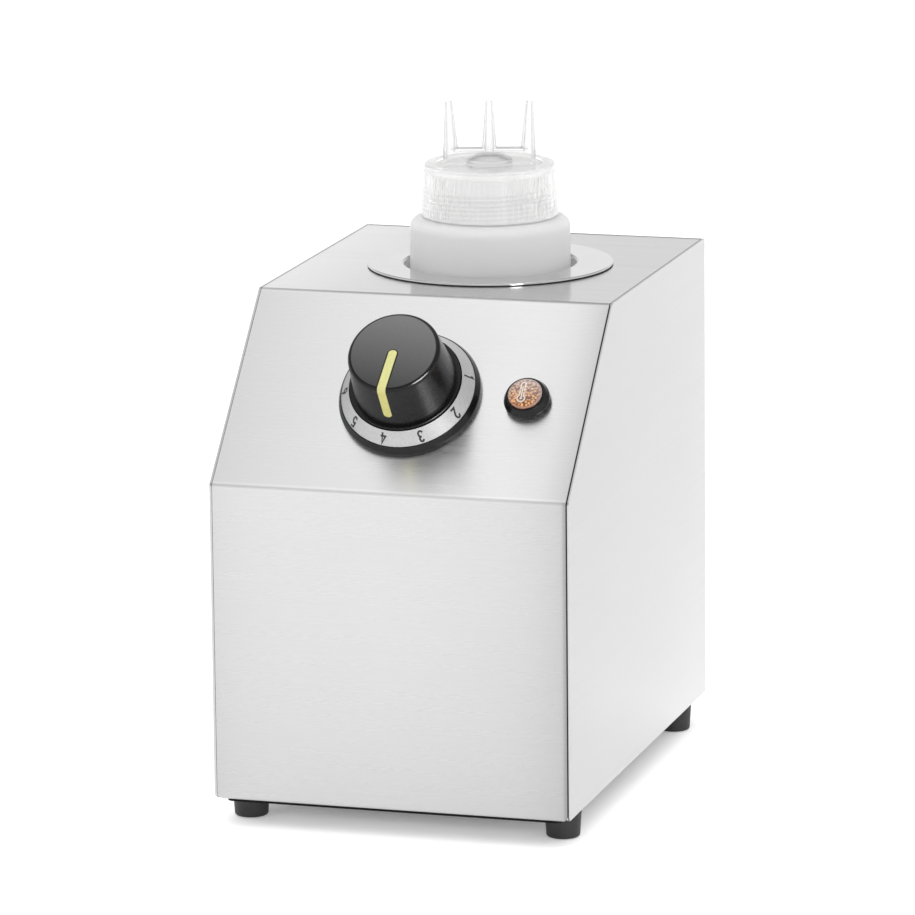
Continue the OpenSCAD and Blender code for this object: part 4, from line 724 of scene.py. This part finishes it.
def add_dial_numbers():
    ink = moulded("number_ink", (0.016, 0.016, 0.017), 0.5, grain=2500.0, depth=0.00001)
    mesh = bmesh.new()
    for digit, strokes in FIGURES.items():
        for stroke in strokes:
            path = [(x * DIGIT_W, (y - 0.5) * DIGIT_H + DIGIT_SHIFT) for x, y in stroke]
            ribbon(mesh, path, DIGIT_PEN, lambda x, y, lift: ring_place(DIGIT_ANGLES[digit], x, y, lift))
    finish_mesh("dial_numbers", mesh, ink, "casing")


add_dial_numbers()


# Lamp lens with a grained face, and the plain heat sign printed on it
LENS_EDGE_H, LENS_DOME = 6.9, 1.0
LENS_WALL = ((7.28, 6.92), (7.43, 6.76), (LENS_R, 6.5), (LENS_R, 5.3))
LENS_RINGS, LENS_STEPS, LENS_FADE_RINGS = 34, 120, 3
GRAIN_PITCH, GRAIN_DEPTH, GRAIN_REACH = 1.15, 0.22, 0.55
ROW_PITCH = GRAIN_PITCH * 0.866
SIGN_SHIFT, SIGN_LINE, SIGN_FLUID = -0.9, 0.62, 0.55
TUBE_R, TUBE_LOW, TUBE_HIGH, FLUID_LOW, FLUID_HIGH = 0.95, -2.0, 3.85, -3.0, 2.2
BULB_R, BULB_Y, DROP_R, DROP_LINE = 1.65, -3.3, 0.35, 0.5


def lens_height(x, y):
    r = math.hypot(x, y) / LENS_R
    return LENS_EDGE_H + LENS_DOME * (1 - r * r)


def grain_height(x, y):
    """Rows of little pyramids, every second row shifted by half a pitch."""
    row = round(y / ROW_PITCH)
    shift = GRAIN_PITCH / 2 if row % 2 else 0.0
    column = round((x - shift) / GRAIN_PITCH)
    dx = x - shift - column * GRAIN_PITCH
    dy = y - row * ROW_PITCH
    return GRAIN_DEPTH * max(0.0, 1 - math.hypot(dx, dy) / (GRAIN_PITCH * GRAIN_REACH))


def lens_ring(mesh, radius, height):
    """A ring of points about the lamp's axis, at the height that height(x, y) gives."""
    ring = []
    for k in range(LENS_STEPS):
        angle = 2 * math.pi * k / LENS_STEPS
        x, y = radius * math.cos(angle), radius * math.sin(angle)
        ring.append(mesh.verts.new(on_slope(LAMP_U + x, LAMP_V + y, height(x, y))))
    return ring


def bridge(mesh, a, b):
    """Joins two rings of the lens by faces."""
    for k in range(LENS_STEPS):
        after = (k + 1) % LENS_STEPS
        mesh.faces.new((a[k], b[k], b[after], a[after]))


def add_lens():
    """A domed lens with a grained face, which takes the plain lens's place."""
    mesh = bmesh.new()
    rows = []
    for i in range(1, LENS_RINGS + 1):
        fade = min(1.0, (LENS_RINGS - i) / LENS_FADE_RINGS)
        radius = LENS_FACE_R * i / LENS_RINGS
        rows.append(lens_ring(mesh, radius, lambda x, y: lens_height(x, y) + fade * grain_height(x, y)))
    middle = mesh.verts.new(on_slope(LAMP_U, LAMP_V, lens_height(0, 0) + grain_height(0, 0)))
    for k in range(LENS_STEPS):
        mesh.faces.new((middle, rows[0][k], rows[0][(k + 1) % LENS_STEPS]))
    for inner, outer in zip(rows, rows[1:]):
        bridge(mesh, inner, outer)
    before = rows[-1]
    for radius, height in LENS_WALL:
        wall = lens_ring(mesh, radius, lambda x, y: height)
        bridge(mesh, before, wall)
        before = wall
    mesh.faces.new(list(reversed(before)))
    lens = finish_mesh("lamp_lens_grained", mesh, AMBER, "casing", smooth=True)
    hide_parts("lamp_lens")


def add_heat_sign():
    """A thermometer outline, printed in a soft white on the lens."""
    white = moulded("sign_white", (0.74, 0.65, 0.58), 0.5, grain=2500.0, depth=0.00001)
    mesh = bmesh.new()

    def place(x, y, lift):
        x += SIGN_SHIFT
        return on_slope(LAMP_U + x, LAMP_V + y, lens_height(x, y) + GRAIN_DEPTH + lift)

    outline = (
        [(-TUBE_R, TUBE_LOW)] + arc(0.0, TUBE_HIGH, TUBE_R, TUBE_R, 180, 0, 10) + [(TUBE_R, TUBE_LOW)]
        + arc(0.0, BULB_Y, BULB_R, BULB_R, 52, -232, 20) + [(-TUBE_R, TUBE_LOW)]
    )
    ribbon(mesh, outline, SIGN_LINE, place)
    ribbon(mesh, [(0.0, FLUID_LOW), (0.0, FLUID_HIGH)], SIGN_FLUID, place)
    ribbon(mesh, arc(0.0, BULB_Y, DROP_R, DROP_R, 0, 350, 12), DROP_LINE, place)
    finish_mesh("lamp_heat_sign", mesh, white, "casing")


add_lens()
add_heat_sign()


# Floor and light
FLOOR_SIZE, FLOOR_Z = 12000.0, -0.2
# Emission of the floor by how far outside the casing's footprint a point lies: none under the casing, which
# paints its shadow, and most close round it, a painted pool of light
FLOOR_PAINTED_GLOW = (
    (-90, 0.0), (-60, 0.0), (-54, 0.01), (-42, 0.1), (-30, 0.18), (-18, 0.3), (-8, 0.33), (0, 0.3),
    (30, 0.24), (130, 0.15),
)
GLOW_SIDE = 14.0
SKY = ((0.0, 1.0), (0.26, 1.0), (0.42, 0.5), (0.72, 0.5), (0.88, 1.0), (1.0, 1.1))


def add_floor():
    """A pale floor whose emission, set by its distance from the casing as the table above says, is painted
    light: a painted shadow under the casing and a painted pool of light round it.
    """
    made = Shader("floor", grey(0.93), 0.9)
    made.bsdf.inputs["Emission Color"].default_value = (1.0, 1.0, 1.0, 1.0)
    x, y, _ = made.places()
    outside = made.math(
        "MAXIMUM",
        made.math("SUBTRACT", made.math("ABSOLUTE", x), (BODY_W / 2 + GLOW_SIDE) * MM),
        made.math("SUBTRACT", made.math("ABSOLUTE", y), BODY_D / 2 * MM),
    )
    painted_glow = made.ramp(outside, FLOOR_PAINTED_GLOW)
    made.wire(painted_glow, made.bsdf.inputs["Emission Strength"])
    grain = made.noise(made.coords((6.0, 6.0, 6.0)))
    made.paint(made.blend(grain, grey(0.925), grey(0.935)))
    mesh = bmesh.new()
    bmesh.ops.create_grid(mesh, x_segments=8, y_segments=8, size=FLOOR_SIZE / 2 * MM)
    data = bpy.data.meshes.new("floor")
    mesh.to_mesh(data)
    mesh.free()
    data.materials.append(made.material)
    floor = link(bpy.data.objects.new("floor", data))
    floor.location = (0.0, 0.0, FLOOR_Z * MM)


def add_world():
    """White surroundings with a dimmer belt between the horizon and the overhead light."""
    world = bpy.data.worlds.new("studio")
    world.use_nodes = True
    scene.world = world
    tree = world.node_tree
    place = tree.nodes.new("ShaderNodeTexCoord")
    split = tree.nodes.new("ShaderNodeSeparateXYZ")
    sky = tree.nodes.new("ShaderNodeValToRGB")
    sky.color_ramp.interpolation = "EASE"
    stops = sky.color_ramp.elements
    for stop, (climb, strength) in zip(stops, (SKY[0], SKY[-1])):
        stop.position = climb
        stop.color = (*grey(strength), 1.0)
    for climb, strength in SKY[1:-1]:
        stop = stops.new(climb)
        stop.color = (*grey(strength), 1.0)
    tree.links.new(place.outputs["Generated"], split.inputs[0])
    tree.links.new(split.outputs["Z"], sky.inputs["Fac"])
    tree.links.new(sky.outputs["Color"], tree.nodes["Background"].inputs["Color"])


def add_area(name, place, target, size, power, unseen_by):
    """A soft rectangular light, placed in metres, that some kinds of ray leave out."""
    data = bpy.data.lights.new(name, "AREA")
    data.shape = "RECTANGLE"
    data.size, data.size_y = size
    data.energy = power
    lamp = link(bpy.data.objects.new(name, data))
    lamp.location = place
    lamp.rotation_euler = (Vector(target) - Vector(place)).to_track_quat("-Z", "Y").to_euler()
    for rays in unseen_by:
        setattr(lamp, "visible_" + rays, False)
    return lamp


add_floor()
add_world()
add_area("ceiling", (0.0, 0.0, 4.0), (0.0, 0.0, 0.0), (9.0, 9.0), 240.0, ("glossy", "transmission"))
add_area(
    "right_strip", (1.5, -1.75, 0.5), (0.0, -0.08, 0.18), (0.4, 0.8), 10.0, ("diffuse", "transmission"),
)
knob_box = add_area(
    "knob_softbox", (1.55, -1.65, 0.42), (0.0, -0.1, 0.2), (1.1, 1.3), 130.0, ("diffuse", "transmission"),
)
lit = bpy.data.collections.new("knob_softbox_lit")
lit.objects.link(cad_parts["knob"])
knob_box.light_linking.receiver_collection = lit
